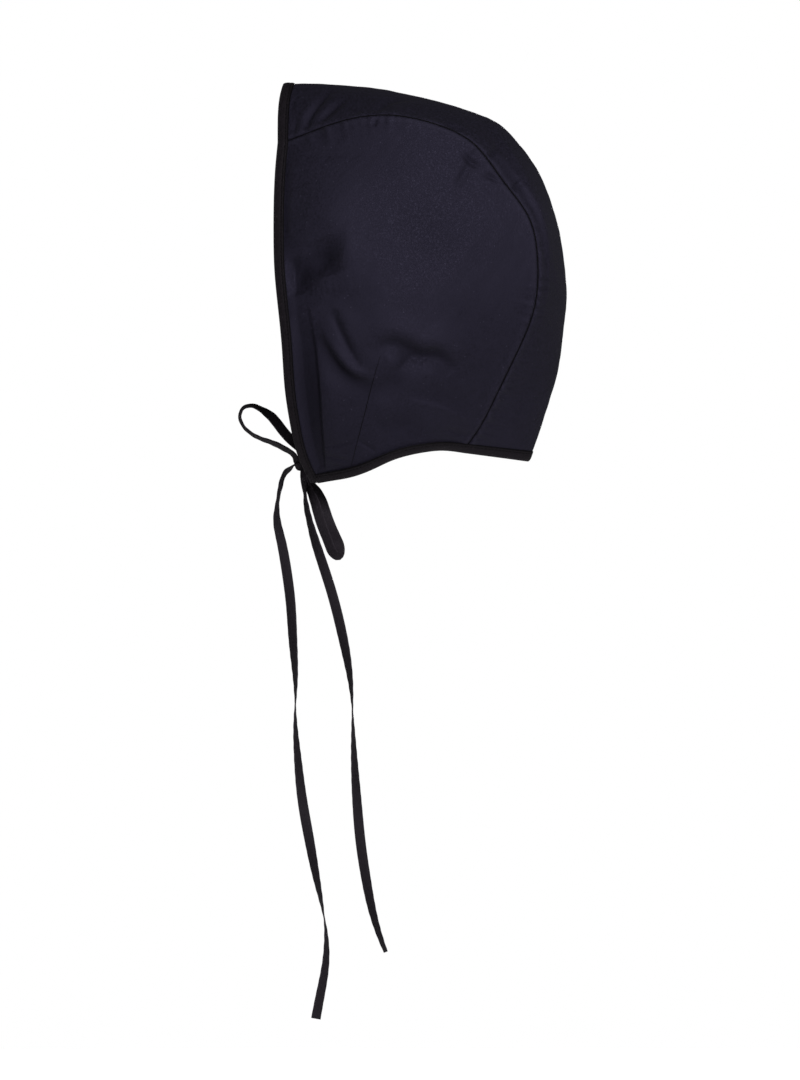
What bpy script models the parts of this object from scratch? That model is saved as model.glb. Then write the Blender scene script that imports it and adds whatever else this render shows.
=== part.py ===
"""A hood-shaped cotton bonnet with bound edges and tape ties, tied in a bow.

Metres, +Z up. The face opening looks along -Y, and the wearer's left is +X. The origin is
on the middle plane, on the inside of the crown, where the bonnet rests on the head.
"""
from collections import namedtuple

import bmesh
import bpy
import numpy as np

# Sizes of the hood
HOOD_HEIGHT = 0.300          # chin corner to the top of the crown
HOOD_DEPTH = 0.216           # face edge to the back of the crown
HOOD_WIDTH = 0.154           # side to side, over the ears
CROWN_WIDTH = 0.106          # centre panel at its widest, seam to seam
FACE_WIDTH = 0.123           # face opening at its widest
NECK_WIDTH = 0.104           # neck opening at its widest
CHIN_GAP = 0.038             # between the two chin corners

# Cloth, binding and seams
CLOTH_THICKNESS = 0.0012
SEAM_GAP = 0.0004            # left open between two pieces of cloth
BINDING_WIDTH = 0.007        # from the fold to the stitched edge
BINDING_THICKNESS = 0.001
BINDING_CLEARANCE = 0.0004   # between the binding and the cloth that it wraps
NECK_BINDING_START = BINDING_WIDTH * 1.2   # from the chin corner, where it is clear of the face binding

# Ties and bow
TIE_WIDTH = 0.0075
TIE_THICKNESS = 0.0012
KNOT_WIDTH = 0.009           # side to side
KNOT_DEPTH = 0.009           # front to back
KNOT_HEIGHT = 0.014
KNOT_BEVEL = 0.0015
KNOT_FORWARD = 0.0045        # knot centre in front of the chin corners
KNOT_RISE = 0.0097           # knot centre above the chin corners
KNOT_GAP = 0.0004            # between the knot and the tape that leaves it
KNOT_LEAVE = 0.0018          # straight stretch of tape next to the knot

# Where the crown rests on the head, as a share of the hood's depth
SEAT_DEPTH = 0.5

# Facets
SIDE_COLUMNS = 22            # from the face edge to the back seam
SIDE_ROWS = 22               # from the top seam to the neck edge
BROW_ROWS = 11               # rows of the centre panel in its first piece
CROWN_COLUMNS = (0.0, 0.13, 0.30, 0.50, 0.70, 0.86, 1.0)   # shares of the half width
TAIL_STEPS = 48
LOOP_STEPS = 26
LEAD_STEPS = 4

# Colours
NAVY_COTTON = (0.017, 0.0155, 0.026, 1.0)
DARK_TAPE = (0.016, 0.0125, 0.0175, 1.0)

# The centre panel, a row for each section from the forehead to the nape. Depths and heights
# are shares of the hood's depth and height, half_width is a share of half the crown's width.
# roundness: 0 is a sharp fold on the middle plane, 1 is a round back. crease: share of the
# section's depth that its soft crease stands out. corner: power that keeps the front corner square.
Section = namedtuple(
    "Section", "seam_depth seam_height spine_depth spine_height half_width roundness crease corner")
CROWN_SECTIONS = (
    Section(0.022, 0.847, 0.041, 0.994, 0.67, 0.90, 0.00, 4.0),
    Section(0.127, 0.876, 0.131, 0.996, 0.78, 0.90, 0.00, 2.0),
    Section(0.244, 0.905, 0.254, 0.991, 0.89, 0.90, 0.00, 1.0),
    Section(0.409, 0.917, 0.419, 0.975, 0.98, 0.85, 0.00, 1.0),
    Section(0.543, 0.898, 0.570, 0.950, 1.00, 0.80, 0.03, 1.0),
    Section(0.684, 0.848, 0.739, 0.906, 0.99, 0.75, 0.10, 1.0),
    Section(0.787, 0.755, 0.883, 0.805, 0.98, 0.70, 0.18, 1.0),
    Section(0.880, 0.658, 0.959, 0.678, 0.99, 0.70, 0.21, 1.0),
    Section(0.907, 0.555, 0.990, 0.555, 0.99, 0.70, 0.20, 1.0),
    Section(0.897, 0.443, 1.000, 0.443, 0.97, 0.70, 0.10, 1.0),
    Section(0.835, 0.327, 0.979, 0.297, 0.91, 0.65, 0.03, 1.0),
    Section(0.763, 0.220, 0.935, 0.186, 0.82, 0.60, 0.00, 1.0),
    Section(0.687, 0.121, 0.893, 0.094, 0.69, 0.55, 0.00, 1.0),
    Section(0.650, 0.088, 0.876, 0.067, 0.60, 0.55, 0.00, 1.0),
)
CREASE_COLUMN = 0.86         # where the crease runs, as a share of the half width
CORNER_SECTION = 8           # the section where the side panel's top seam turns into its back seam

# The edges of a side panel, a row for each place. breadth is a share of half the opening's
# width, and the chin corner's breadth is half the chin gap.
EdgePoint = namedtuple("EdgePoint", "depth height breadth")
CHIN_CORNER = (0.132, 0.010)
FACE_EDGE = (
    EdgePoint(0.015, 0.795, 0.650),
    EdgePoint(0.009, 0.708, 0.765),
    EdgePoint(0.008, 0.621, 0.870),
    EdgePoint(0.011, 0.535, 0.950),
    EdgePoint(0.024, 0.436, 1.000),
    EdgePoint(0.037, 0.337, 0.990),
    EdgePoint(0.046, 0.243, 0.895),
    EdgePoint(0.062, 0.163, 0.750),
    EdgePoint(0.091, 0.074, 0.535),
)
NECK_EDGE = (
    EdgePoint(0.192, 0.018, 0.580),
    EdgePoint(0.275, 0.030, 0.840),
    EdgePoint(0.344, 0.049, 0.960),
    EdgePoint(0.399, 0.067, 1.000),
    EdgePoint(0.450, 0.079, 0.980),
    EdgePoint(0.519, 0.089, 0.900),
    EdgePoint(0.584, 0.093, 0.765),
)

# Folds of a side panel, each along a curve through three places (depth, height). Width and
# rise are shares of the hood's height, and a rise below zero is a hollow.
Fold = namedtuple("Fold", "name start middle end width rise")
SIDE_FOLDS = (
    Fold("pleat", (0.120, 0.428), (0.160, 0.233), (0.184, 0.035), 0.020, -0.010),
    Fold("strip before the pleat", (0.090, 0.400), (0.115, 0.230), (0.140, 0.060), 0.043, -0.010),
    Fold("roll behind the pleat", (0.150, 0.420), (0.205, 0.240), (0.225, 0.060), 0.033, 0.007),
    Fold("dart", (0.364, 0.312), (0.313, 0.176), (0.265, 0.047), 0.023, -0.007),
    Fold("hollow in front of the dart", (0.175, 0.361), (0.244, 0.292), (0.340, 0.264), 0.030, -0.015),
    Fold("ridge over that hollow", (0.185, 0.400), (0.268, 0.330), (0.318, 0.300), 0.030, 0.007),
    Fold("hollow behind the dart", (0.370, 0.375), (0.485, 0.350), (0.612, 0.282), 0.037, -0.015),
    Fold("ridge over the dart's tip", (0.360, 0.325), (0.430, 0.315), (0.480, 0.310), 0.027, 0.005),
    Fold("dimple at the cheek", (0.150, 0.530), (0.195, 0.560), (0.230, 0.610), 0.057, -0.017),
)
FOLD_STEPS = 40
EDGE_CALM = 12               # how many times the share from an edge reaches full fold height

# Routes of the tape from the knot's centre, in metres. turn is the tape's twist in degrees:
# 0 shows its full width from the side, 90 shows its edge.
RoutePoint = namedtuple("RoutePoint", "forward up across turn")
FRONT_LOOP_ROUTE = (
    RoutePoint(0.0050, 0.0140, -0.001, 60),
    RoutePoint(0.0085, 0.0185, -0.003, 30),
    RoutePoint(0.0137, 0.0240, -0.005, 14),
    RoutePoint(0.0197, 0.0313, -0.008, 12),
    RoutePoint(0.0263, 0.0392, -0.011, 25),
    RoutePoint(0.0330, 0.0441, -0.014, 55),
    RoutePoint(0.0404, 0.0471, -0.017, 78),
    RoutePoint(0.0460, 0.0460, -0.018, 90),
    RoutePoint(0.0493, 0.0412, -0.019, 94),
    RoutePoint(0.0491, 0.0364, -0.018, 96),
    RoutePoint(0.0464, 0.0312, -0.017, 98),
    RoutePoint(0.0419, 0.0269, -0.015, 101),
    RoutePoint(0.0360, 0.0234, -0.013, 106),
    RoutePoint(0.0286, 0.0206, -0.010, 114),
    RoutePoint(0.0211, 0.0176, -0.007, 120),
    RoutePoint(0.0137, 0.0136, -0.004, 116),
    RoutePoint(0.0086, 0.0089, -0.001, 100),
)
LOW_LOOP_ROUTE = (
    RoutePoint(-0.0030, -0.0165, 0.002, 45),
    RoutePoint(-0.0067, -0.0260, 0.004, 20),
    RoutePoint(-0.0100, -0.0371, 0.006, 10),
    RoutePoint(-0.0137, -0.0475, 0.008, 12),
    RoutePoint(-0.0171, -0.0564, 0.010, 30),
    RoutePoint(-0.0200, -0.0623, 0.011, 62),
    RoutePoint(-0.0234, -0.0646, 0.011, 90),
    RoutePoint(-0.0260, -0.0608, 0.010, 112),
    RoutePoint(-0.0249, -0.0534, 0.007, 132),
    RoutePoint(-0.0211, -0.0445, 0.002, 142),
    RoutePoint(-0.0167, -0.0341, -0.001, 142),
    RoutePoint(-0.0115, -0.0230, -0.002, 125),
    RoutePoint(-0.0067, -0.0145, -0.001, 105),
)
LONG_TAIL_ROUTE = (
    RoutePoint(0.0085, 0.0028, 0.000, -82),
    RoutePoint(0.0122, 0.0006, -0.001, -68),
    RoutePoint(0.0164, -0.0039, -0.002, -66),
    RoutePoint(0.0189, -0.0111, -0.003, -66),
    RoutePoint(0.0210, -0.0215, -0.004, -74),
    RoutePoint(0.0219, -0.0378, -0.005, -45),
    RoutePoint(0.0189, -0.0527, -0.006, -22),
    RoutePoint(0.0160, -0.0675, -0.007, -8),
    RoutePoint(0.0137, -0.0824, -0.008, 2),
    RoutePoint(0.0119, -0.0972, -0.009, 12),
    RoutePoint(0.0100, -0.1269, -0.009, 32),
    RoutePoint(0.0082, -0.1566, -0.009, 66),
    RoutePoint(0.0082, -0.1862, -0.009, 104),
    RoutePoint(0.0063, -0.2159, -0.008, 136),
    RoutePoint(0.0030, -0.2456, -0.007, 164),
    RoutePoint(-0.0022, -0.2753, -0.006, 194),
    RoutePoint(-0.0078, -0.3050, -0.006, 230),
    RoutePoint(-0.0134, -0.3346, -0.007, 272),
    RoutePoint(-0.0145, -0.3643, -0.008, 310),
    RoutePoint(-0.0096, -0.3940, -0.009, 334),
    RoutePoint(-0.0070, -0.4081, -0.009, 340),
)
SHORT_TAIL_ROUTE = (
    RoutePoint(0.0013, -0.0165, 0.001, 74),
    RoutePoint(0.0003, -0.0260, 0.002, 64),
    RoutePoint(-0.0022, -0.0378, 0.003, 54),
    RoutePoint(-0.0063, -0.0527, 0.005, 32),
    RoutePoint(-0.0111, -0.0675, 0.006, 15),
    RoutePoint(-0.0160, -0.0824, 0.007, 4),
    RoutePoint(-0.0204, -0.0972, 0.008, 2),
    RoutePoint(-0.0275, -0.1269, 0.009, 22),
    RoutePoint(-0.0326, -0.1566, 0.010, 62),
    RoutePoint(-0.0345, -0.1862, 0.010, 98),
    RoutePoint(-0.0356, -0.2159, 0.010, 128),
    RoutePoint(-0.0375, -0.2456, 0.009, 156),
    RoutePoint(-0.0401, -0.2753, 0.009, 180),
    RoutePoint(-0.0445, -0.3050, 0.008, 200),
    RoutePoint(-0.0508, -0.3346, 0.008, 228),
    RoutePoint(-0.0556, -0.3495, 0.008, 242),
    RoutePoint(-0.0590, -0.3584, 0.008, 250),
)

# Where tape leaves the knot: forward and up from its centre, on one of its faces
TOP_EXIT = 0.0012            # the front loop's first strand, forward of the middle
FRONT_LOOP_RETURN = 0.0050   # its second strand, up the knot's front face
LONG_TAIL_EXIT = 0.0020      # the long tail, up the knot's front face
SHORT_TAIL_EXIT = 0.0018     # under the knot, forward of the middle
LOW_LOOP_EXIT = -0.0006      # under the knot, then behind it
LOW_LOOP_RETURN = -0.0030


def unit(vectors):
    """Each row at length one."""
    return vectors / np.linalg.norm(vectors, axis=-1, keepdims=True)


def spline(places, values, wanted):
    """Natural cubic spline through the values at the places, read at the wanted places."""
    places = np.asarray(places, float)
    values = np.asarray(values, float)
    steps = np.diff(places)
    slopes = np.diff(values, axis=0) / steps.reshape([-1] + [1] * (values.ndim - 1))
    matrix = np.eye(len(places))
    right = np.zeros_like(values)
    for k in range(1, len(places) - 1):
        matrix[k, k - 1:k + 2] = steps[k - 1], 2 * (steps[k - 1] + steps[k]), steps[k]
        right[k] = 6 * (slopes[k] - slopes[k - 1])
    bends = np.linalg.solve(matrix, right)
    wanted = np.asarray(wanted, float)
    k = np.clip(np.searchsorted(places, wanted) - 1, 0, len(steps) - 1)
    column = [-1] + [1] * (values.ndim - 1)
    ahead = ((wanted - places[k]) / steps[k]).reshape(column)
    behind = 1 - ahead
    bulge = (behind ** 3 - behind) * bends[k] + (ahead ** 3 - ahead) * bends[k + 1]
    return behind * values[k] + ahead * values[k + 1] + bulge * (steps[k] ** 2 / 6).reshape(column)


def lengths_along(points):
    """How far along its chords each point of a line lies, from 0 at its start."""
    return np.concatenate([[0.0], np.cumsum(np.linalg.norm(np.diff(points, axis=0), axis=1))])


def smooth_line(points, count, short_end=None):
    """A smooth line through the points, read at even places, and once more near each end if asked."""
    points = np.asarray(points, float)
    along = lengths_along(points[:, :3])
    wanted = np.linspace(0, along[-1], count)
    if short_end:
        wanted = np.sort(np.append(wanted, [short_end, along[-1] - short_end]))
    return spline(along, points, wanted)


def seat_height():
    """Share of the hood's height at which the crown's fold passes over the seat."""
    crown = CROWN_SECTIONS[:CORNER_SECTION + 1]
    heights = spline([row.spine_depth for row in crown], [row.spine_height for row in crown], [SEAT_DEPTH])
    return heights[0]


def place(breadth, depth, height):
    """World points from a breadth in metres and shares of the hood's depth and height."""
    y = (np.asarray(depth) - SEAT_DEPTH) * HOOD_DEPTH
    z = (np.asarray(height) - seat_height()) * HOOD_HEIGHT + CLOTH_THICKNESS
    return np.stack(np.broadcast_arrays(breadth, y, z), axis=-1)


def section_line(half_width, roundness, crease, corner):
    """One side of a section: its breadths, and shares of the way from the seam to the middle fold.

    A hyperbola whose tip is as round as asked, plus a soft crease near the seam.
    """
    across = np.array(CROWN_COLUMNS)
    tip = np.hypot(across, roundness) - roundness
    arch = 1 - tip / (np.hypot(1.0, roundness) - roundness)
    ridge = np.where(across > CREASE_COLUMN, (1 - across) / (1 - CREASE_COLUMN), across / CREASE_COLUMN)
    rise = np.clip(arch + crease * ridge, 0, 1)
    return across * half_width, rise ** corner, rise


def crown_surface(stations):
    """The centre panel's outside: a row for each station, columns from the left seam to the right."""
    table = np.array(CROWN_SECTIONS)
    half_width = table[:, 4] * CROWN_WIDTH / 2
    seam = place(half_width, table[:, 0], table[:, 1])
    along = lengths_along(seam)
    corner = along[CORNER_SECTION]
    wanted = np.where(stations < 1, stations * corner, corner + (stations - 1) * (along[-1] - corner))
    rows = spline(along, table, wanted)
    surface = []
    for seam_depth, seam_height, spine_depth, spine_height, width, roundness, crease, power in rows:
        across, run, rise = section_line(width * CROWN_WIDTH / 2, roundness, crease, power)
        depth = seam_depth + (spine_depth - seam_depth) * run
        height = seam_height + (spine_height - seam_height) * rise
        half = place(across, depth, height)[::-1]
        other_half = half[::-1][1:] * (-1, 1, 1)
        surface.append(np.concatenate([half, other_half]))
    return np.array(surface)


def edge_line(first, rows, last, half_opening, count):
    """A smooth edge between two corners, through the rows of its table."""
    inner = [place(row.breadth * half_opening, row.depth, row.height) for row in rows]
    return smooth_line(np.array([first, *inner, last]), count)


def fold_relief(points):
    """How far the folds push each point of a side panel outwards."""
    relief = np.zeros(points.shape[:-1])
    steps = np.linspace(0, 1, FOLD_STEPS)
    weights = np.stack([(1 - steps) * (1 - 2 * steps), 4 * steps * (1 - steps), steps * (2 * steps - 1)])
    for fold in SIDE_FOLDS:
        ends = np.array([place(0.0, *spot)[1:] for spot in (fold.start, fold.middle, fold.end)])
        path = weights.T @ ends
        away = np.linalg.norm(points[..., None, 1:] - path, axis=-1)
        nearest = away.argmin(axis=-1)
        fade = np.sqrt(np.sin(np.pi * steps[nearest]))
        relief += fold.rise * fade * np.exp(-(away.min(axis=-1) / (fold.width * HOOD_HEIGHT)) ** 2)
    return relief * HOOD_HEIGHT


def side_surface(top, back):
    """A side panel's outside between its four edges, rows from the top seam to the neck edge.

    Two opposite pairs of edges are blended and the corners taken off (a Coons patch); then
    the middle is filled out to the hood's breadth and the folds are added.
    """
    chin = place(CHIN_GAP / 2, *CHIN_CORNER)
    face = edge_line(top[0], FACE_EDGE, chin, FACE_WIDTH / 2, SIDE_ROWS + 1)
    neck = edge_line(chin, NECK_EDGE, back[-1], NECK_WIDTH / 2, SIDE_COLUMNS + 1)
    s = np.linspace(0, 1, SIDE_COLUMNS + 1)[None, :, None]
    t = np.linspace(0, 1, SIDE_ROWS + 1)[:, None, None]
    between_rows = (1 - t) * top[None] + t * neck[None]
    between_columns = (1 - s) * face[:, None] + s * back[:, None]
    corners = (1 - t) * ((1 - s) * top[0] + s * top[-1]) + t * ((1 - s) * chin + s * back[-1])
    surface = between_rows + between_columns - corners
    s, t = s[..., 0], t[..., 0]
    fullness = HOOD_WIDTH / 2 - surface[..., 0].max()
    surface[..., 0] += fullness * 16 * s * (1 - s) * t * (1 - t)
    calm = np.clip(EDGE_CALM * np.minimum(s, 1 - s), 0, 1) * np.clip(EDGE_CALM * np.minimum(t, 1 - t), 0, 1)
    surface[..., 0] += calm * fold_relief(surface)
    return surface


def seam_setbacks(seam, into_side, into_crown):
    """How far the cloth on each side stops before the seam line, so that the inner edges stay apart.

    The two sides meet at an angle, and their inner edges lean into its bisector.
    """
    run = unit(np.gradient(seam, axis=0))
    side_out = unit(np.cross(into_side - seam, run))
    crown_out = unit(np.cross(run, into_crown - seam))
    half_angle = np.arccos(np.clip((side_out * crown_out).sum(axis=1), -1, 1)) / 2
    return (SEAM_GAP / 2 + CLOTH_THICKNESS * np.sin(half_angle)) / np.cos(half_angle)


def pulled_in(edge, inner, setbacks):
    """The edge's points moved towards the inner points."""
    return edge + unit(inner - edge) * setbacks[:, None]


def cut_across(surface, row):
    """A surface cut in two along one of its rows."""
    cut = surface[row]
    setbacks = seam_setbacks(cut, surface[row + 1], surface[row - 1])
    first = surface[:row + 1].copy()
    second = surface[row:].copy()
    first[-1] = pulled_in(cut, surface[row - 1], setbacks)
    second[0] = pulled_in(cut, surface[row + 1], setbacks)
    return first, second


def begin_later(edge, inner, distance):
    """An edge and its inner points without their first stretch."""
    along = lengths_along(edge)
    first = np.searchsorted(along, distance, side="right")
    share = (distance - along[first - 1]) / (along[first] - along[first - 1])
    shorter = []
    for line in (edge, inner):
        start = line[first - 1] + share * (line[first] - line[first - 1])
        shorter.append(np.concatenate([[start], line[first:]]))
    return shorter


def binding_channel(edge, inner):
    """The inside of a tape folded over an edge: inner leg, rounded fold and outer leg."""
    run = unit(np.gradient(edge, axis=0))
    inward = inner - edge
    inward = unit(inward - run * (inward * run).sum(axis=1, keepdims=True))
    outward = unit(np.cross(inward, run))
    nose = BINDING_CLEARANCE + CLOTH_THICKNESS / 3
    leg = BINDING_WIDTH - nose - BINDING_THICKNESS
    lower = -CLOTH_THICKNESS - BINDING_CLEARANCE
    profile = (
        (leg, lower),
        (-BINDING_CLEARANCE, lower),
        (-nose, -CLOTH_THICKNESS / 2),
        (-BINDING_CLEARANCE, BINDING_CLEARANCE),
        (leg, BINDING_CLEARANCE),
    )
    return np.stack([edge + along * inward + off * outward for along, off in profile], axis=1)


def make_material(name, colour, roughness):
    material = bpy.data.materials.new(name)
    material.use_nodes = True
    shader = material.node_tree.nodes["Principled BSDF"]
    shader.inputs["Base Color"].default_value = colour
    shader.inputs["Roughness"].default_value = roughness
    shader.inputs["Metallic"].default_value = 0.0
    return material


def add_object(name, mesh, material, collection):
    item = bpy.data.objects.new(name, mesh)
    mesh.materials.append(material)
    mesh.shade_smooth()
    collection.objects.link(item)
    return item


def grid_mesh(name, points):
    """A grid plane whose points are moved onto the surface; it faces along columns x rows."""
    rows, columns = points.shape[:2]
    form = bmesh.new()
    bmesh.ops.create_grid(form, x_segments=columns - 1, y_segments=rows - 1, size=1.0)
    for vertex, point in zip(form.verts, points.reshape(-1, 3)):
        vertex.co = point
    mesh = bpy.data.meshes.new(name)
    form.to_mesh(mesh)
    form.free()
    return mesh


def add_sheet(name, points, thickness, offset, material, collection):
    """A sheet of cloth or tape: an open grid with a thickness."""
    item = add_object(name, grid_mesh(name, points), material, collection)
    wall = item.modifiers.new("Thickness", "SOLIDIFY")
    wall.thickness = thickness
    wall.offset = offset
    wall.use_even_offset = True
    return item


def tape(name, line, turns, steps, material, collection):
    """A flat tape along a smooth line, twisted by the turns about its own run."""
    smooth = smooth_line(np.column_stack([line, turns]), steps + 1, KNOT_LEAVE)
    centre = smooth[:, :3]
    run = unit(np.gradient(centre, axis=0))
    aside = unit(np.cross((1.0, 0.0, 0.0), run))
    across = np.cross(run, aside)
    turn = np.radians(smooth[:, 3:])
    half = (np.cos(turn) * aside + np.sin(turn) * across) * TIE_WIDTH / 2
    points = np.stack([centre - half, centre + half], axis=1)
    return add_sheet(name, points, TIE_THICKNESS, 0.0, material, collection)


def from_knot(knot, forward, up, across=0.0):
    return knot + np.array([across, -forward, up])


def knot_exit(knot, face, place_on_face):
    """Two points where tape leaves a face of the knot, square to it."""
    reach = {"front": KNOT_DEPTH, "top": KNOT_HEIGHT, "bottom": KNOT_HEIGHT}[face] / 2 + KNOT_GAP
    points = []
    for out in (reach, reach + KNOT_LEAVE):
        forward, up = (out, place_on_face) if face == "front" else (place_on_face, out)
        points.append(from_knot(knot, forward, -up if face == "bottom" else up))
    return points


def route_points(knot, route):
    return [from_knot(knot, row.forward, row.up, row.across) for row in route]


def add_free_tapes(knot, material, collection):
    """The two loops and the two tails of the bow."""
    for name, face, exit_place, route, steps, return_face, return_place in (
        ("bow_loop_front", "top", TOP_EXIT, FRONT_LOOP_ROUTE, LOOP_STEPS, "front", FRONT_LOOP_RETURN),
        ("bow_loop_low", "bottom", LOW_LOOP_EXIT, LOW_LOOP_ROUTE, LOOP_STEPS, "bottom", LOW_LOOP_RETURN),
        ("tie_tail_long", "front", LONG_TAIL_EXIT, LONG_TAIL_ROUTE, TAIL_STEPS, None, None),
        ("tie_tail_short", "bottom", SHORT_TAIL_EXIT, SHORT_TAIL_ROUTE, TAIL_STEPS, None, None),
    ):
        square = 90 if route[0].turn > 0 else -90
        line = knot_exit(knot, face, exit_place) + route_points(knot, route)
        turns = [square, square] + [row.turn for row in route]
        if return_face:
            line += knot_exit(knot, return_face, return_place)[::-1]
            turns += [90, 90]
        tape(name, np.array(line), turns, steps, material, collection)


def add_lead(name, side, knot, edge, inner, material, collection):
    """The short tape from a chin corner's folded edge to the side of the knot."""
    outward = unit(edge - inner)
    nose = BINDING_CLEARANCE + CLOTH_THICKNESS / 3 + BINDING_THICKNESS + KNOT_GAP
    start = edge + outward * nose
    end = knot + np.array([side * (KNOT_WIDTH / 2 + KNOT_GAP), 0.0, 0.0])
    leave = end + np.array([side * KNOT_LEAVE, 0.0, 0.0])
    line = smooth_line([start, start + outward * KNOT_LEAVE, leave, end], LEAD_STEPS + 1, KNOT_LEAVE)
    half = np.array([0.0, 0.0, TIE_WIDTH / 2])
    points = np.stack([line - half, line + half], axis=1)
    return add_sheet(name, points, TIE_THICKNESS, 0.0, material, collection)


def add_knot(knot, material, collection):
    """A rounded block where the tapes cross."""
    form = bmesh.new()
    bmesh.ops.create_cube(form, size=1.0)
    bmesh.ops.scale(form, vec=(KNOT_WIDTH, KNOT_DEPTH, KNOT_HEIGHT), verts=form.verts)
    bmesh.ops.translate(form, vec=knot, verts=form.verts)
    mesh = bpy.data.meshes.new("bow_knot")
    form.to_mesh(mesh)
    form.free()
    item = add_object("bow_knot", mesh, material, collection)
    rounding = item.modifiers.new("Rounding", "BEVEL")
    rounding.width = KNOT_BEVEL
    rounding.segments = 2
    return item


def build():
    for item in list(bpy.data.objects):
        bpy.data.objects.remove(item, do_unlink=True)
    bonnet = bpy.data.collections.new("bonnet")
    bpy.context.scene.collection.children.link(bonnet)
    cotton = make_material("navy_cotton", NAVY_COTTON, 0.9)
    binding = make_material("dark_binding", DARK_TAPE, 0.8)
    ties = make_material("dark_tie", DARK_TAPE, 0.8)

    top_stations = np.linspace(0, 1, SIDE_COLUMNS + 1)
    back_stations = np.linspace(1, 2, SIDE_ROWS + 1)
    crown = crown_surface(np.concatenate([top_stations, back_stations[1:]]))
    seam = crown[:, 0]
    side = side_surface(seam[:SIDE_COLUMNS + 1], seam[SIDE_COLUMNS:])
    mirror = np.array([-1.0, 1.0, 1.0])

    into_side = np.concatenate([side[1, :-1], side[1:2, -2], side[1:, -2]])
    setbacks = seam_setbacks(seam, into_side, crown[:, 1])
    crown_panel = crown.copy()
    crown_panel[:, 0] = pulled_in(seam, crown[:, 1], setbacks)
    crown_panel[:, -1] = crown_panel[:, 0] * mirror
    side_panel = side.copy()
    pulled = pulled_in(seam, into_side, setbacks)
    side_panel[0] = pulled[:SIDE_COLUMNS + 1]
    side_panel[:, -1] = pulled[SIDE_COLUMNS:]
    over_brow, rest = cut_across(crown_panel, BROW_ROWS)
    over_crown, over_nape = cut_across(rest, SIDE_COLUMNS - BROW_ROWS)

    add_sheet("centre_panel_brow", over_brow[:, ::-1], CLOTH_THICKNESS, -1.0, cotton, bonnet)
    add_sheet("centre_panel_crown", over_crown[:, ::-1], CLOTH_THICKNESS, -1.0, cotton, bonnet)
    add_sheet("centre_panel_nape", over_nape[:, ::-1], CLOTH_THICKNESS, -1.0, cotton, bonnet)
    add_sheet("side_panel_left", side_panel[::-1], CLOTH_THICKNESS, -1.0, cotton, bonnet)
    add_sheet("side_panel_right", side_panel * mirror, CLOTH_THICKNESS, -1.0, cotton, bonnet)

    face_left = side[::-1, 0]
    face_inner = side[::-1, 1]
    face_edge = np.concatenate([face_left, crown[0, 1:-1], face_left[::-1] * mirror])
    face_within = np.concatenate([face_inner, crown[1, 1:-1], face_inner[::-1] * mirror])
    add_sheet("face_binding", binding_channel(face_edge, face_within), BINDING_THICKNESS, 1.0, binding, bonnet)

    neck_side, neck_inner = begin_later(side[-1], side[-2], NECK_BINDING_START)
    neck_edge = np.concatenate([neck_side * mirror, crown[-1, 1:-1][::-1], neck_side[::-1]])
    neck_within = np.concatenate([neck_inner * mirror, crown[-2, 1:-1][::-1], neck_inner[::-1]])
    add_sheet("neck_binding", binding_channel(neck_edge, neck_within), BINDING_THICKNESS, 1.0, binding, bonnet)

    chin = side[-1, 0]
    knot = np.array([0.0, chin[1] - KNOT_FORWARD, chin[2] + KNOT_RISE])
    add_knot(knot, ties, bonnet)
    add_free_tapes(knot, ties, bonnet)
    add_lead("tie_lead_left", 1, knot, side[-2, 0], side[-2, 1], ties, bonnet)
    add_lead("tie_lead_right", -1, knot, side[-2, 0] * mirror, side[-2, 1] * mirror, ties, bonnet)


build()
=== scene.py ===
# %% [markdown]
# # A hood-shaped cotton bonnet
#
# The real bonnet is sewn from three panels of navy cotton: one strip from the forehead to the
# nape, and two sides. A dark tape is folded over the raw edges, and tape ties are tied in a
# bow at the chin. The CAD model gives the frame, in metres, and this lesson dresses it.

# %% Load the frame
from collections import namedtuple

import bpy
import numpy as np
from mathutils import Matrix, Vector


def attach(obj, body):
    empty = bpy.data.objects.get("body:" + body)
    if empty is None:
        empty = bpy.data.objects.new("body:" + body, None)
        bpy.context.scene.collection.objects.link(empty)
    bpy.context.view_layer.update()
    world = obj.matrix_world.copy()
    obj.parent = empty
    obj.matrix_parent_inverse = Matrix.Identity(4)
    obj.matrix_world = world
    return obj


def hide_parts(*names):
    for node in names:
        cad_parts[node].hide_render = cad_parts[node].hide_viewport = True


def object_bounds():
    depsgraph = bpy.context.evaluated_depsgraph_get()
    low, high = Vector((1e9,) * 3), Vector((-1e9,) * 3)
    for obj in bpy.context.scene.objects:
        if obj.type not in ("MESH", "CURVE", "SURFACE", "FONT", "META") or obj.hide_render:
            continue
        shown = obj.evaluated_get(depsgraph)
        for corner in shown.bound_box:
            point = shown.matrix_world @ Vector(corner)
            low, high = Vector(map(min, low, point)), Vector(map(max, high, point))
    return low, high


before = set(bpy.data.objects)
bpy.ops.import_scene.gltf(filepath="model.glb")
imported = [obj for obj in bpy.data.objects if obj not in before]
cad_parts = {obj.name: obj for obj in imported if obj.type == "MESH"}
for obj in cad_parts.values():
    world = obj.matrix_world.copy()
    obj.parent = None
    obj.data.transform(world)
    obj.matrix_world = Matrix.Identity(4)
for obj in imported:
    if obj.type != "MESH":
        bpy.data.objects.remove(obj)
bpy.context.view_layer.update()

# %% [markdown]
# ## The camera
#
# The photograph is taken square to the wearer's left side. A long lens far away keeps the
# side panel and the middle of the hood at one scale, as such a product picture does. Another
# way is a close camera with a short lens, but it would swell the cheek.

# %% Camera
PICTURE_HEIGHT = 0.8014
PICTURE_MIDDLE = np.array([0.0, -0.0145, -0.3274])
CAMERA_DISTANCE = 25.0
SENSOR_HEIGHT_MM = 24.0

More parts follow.
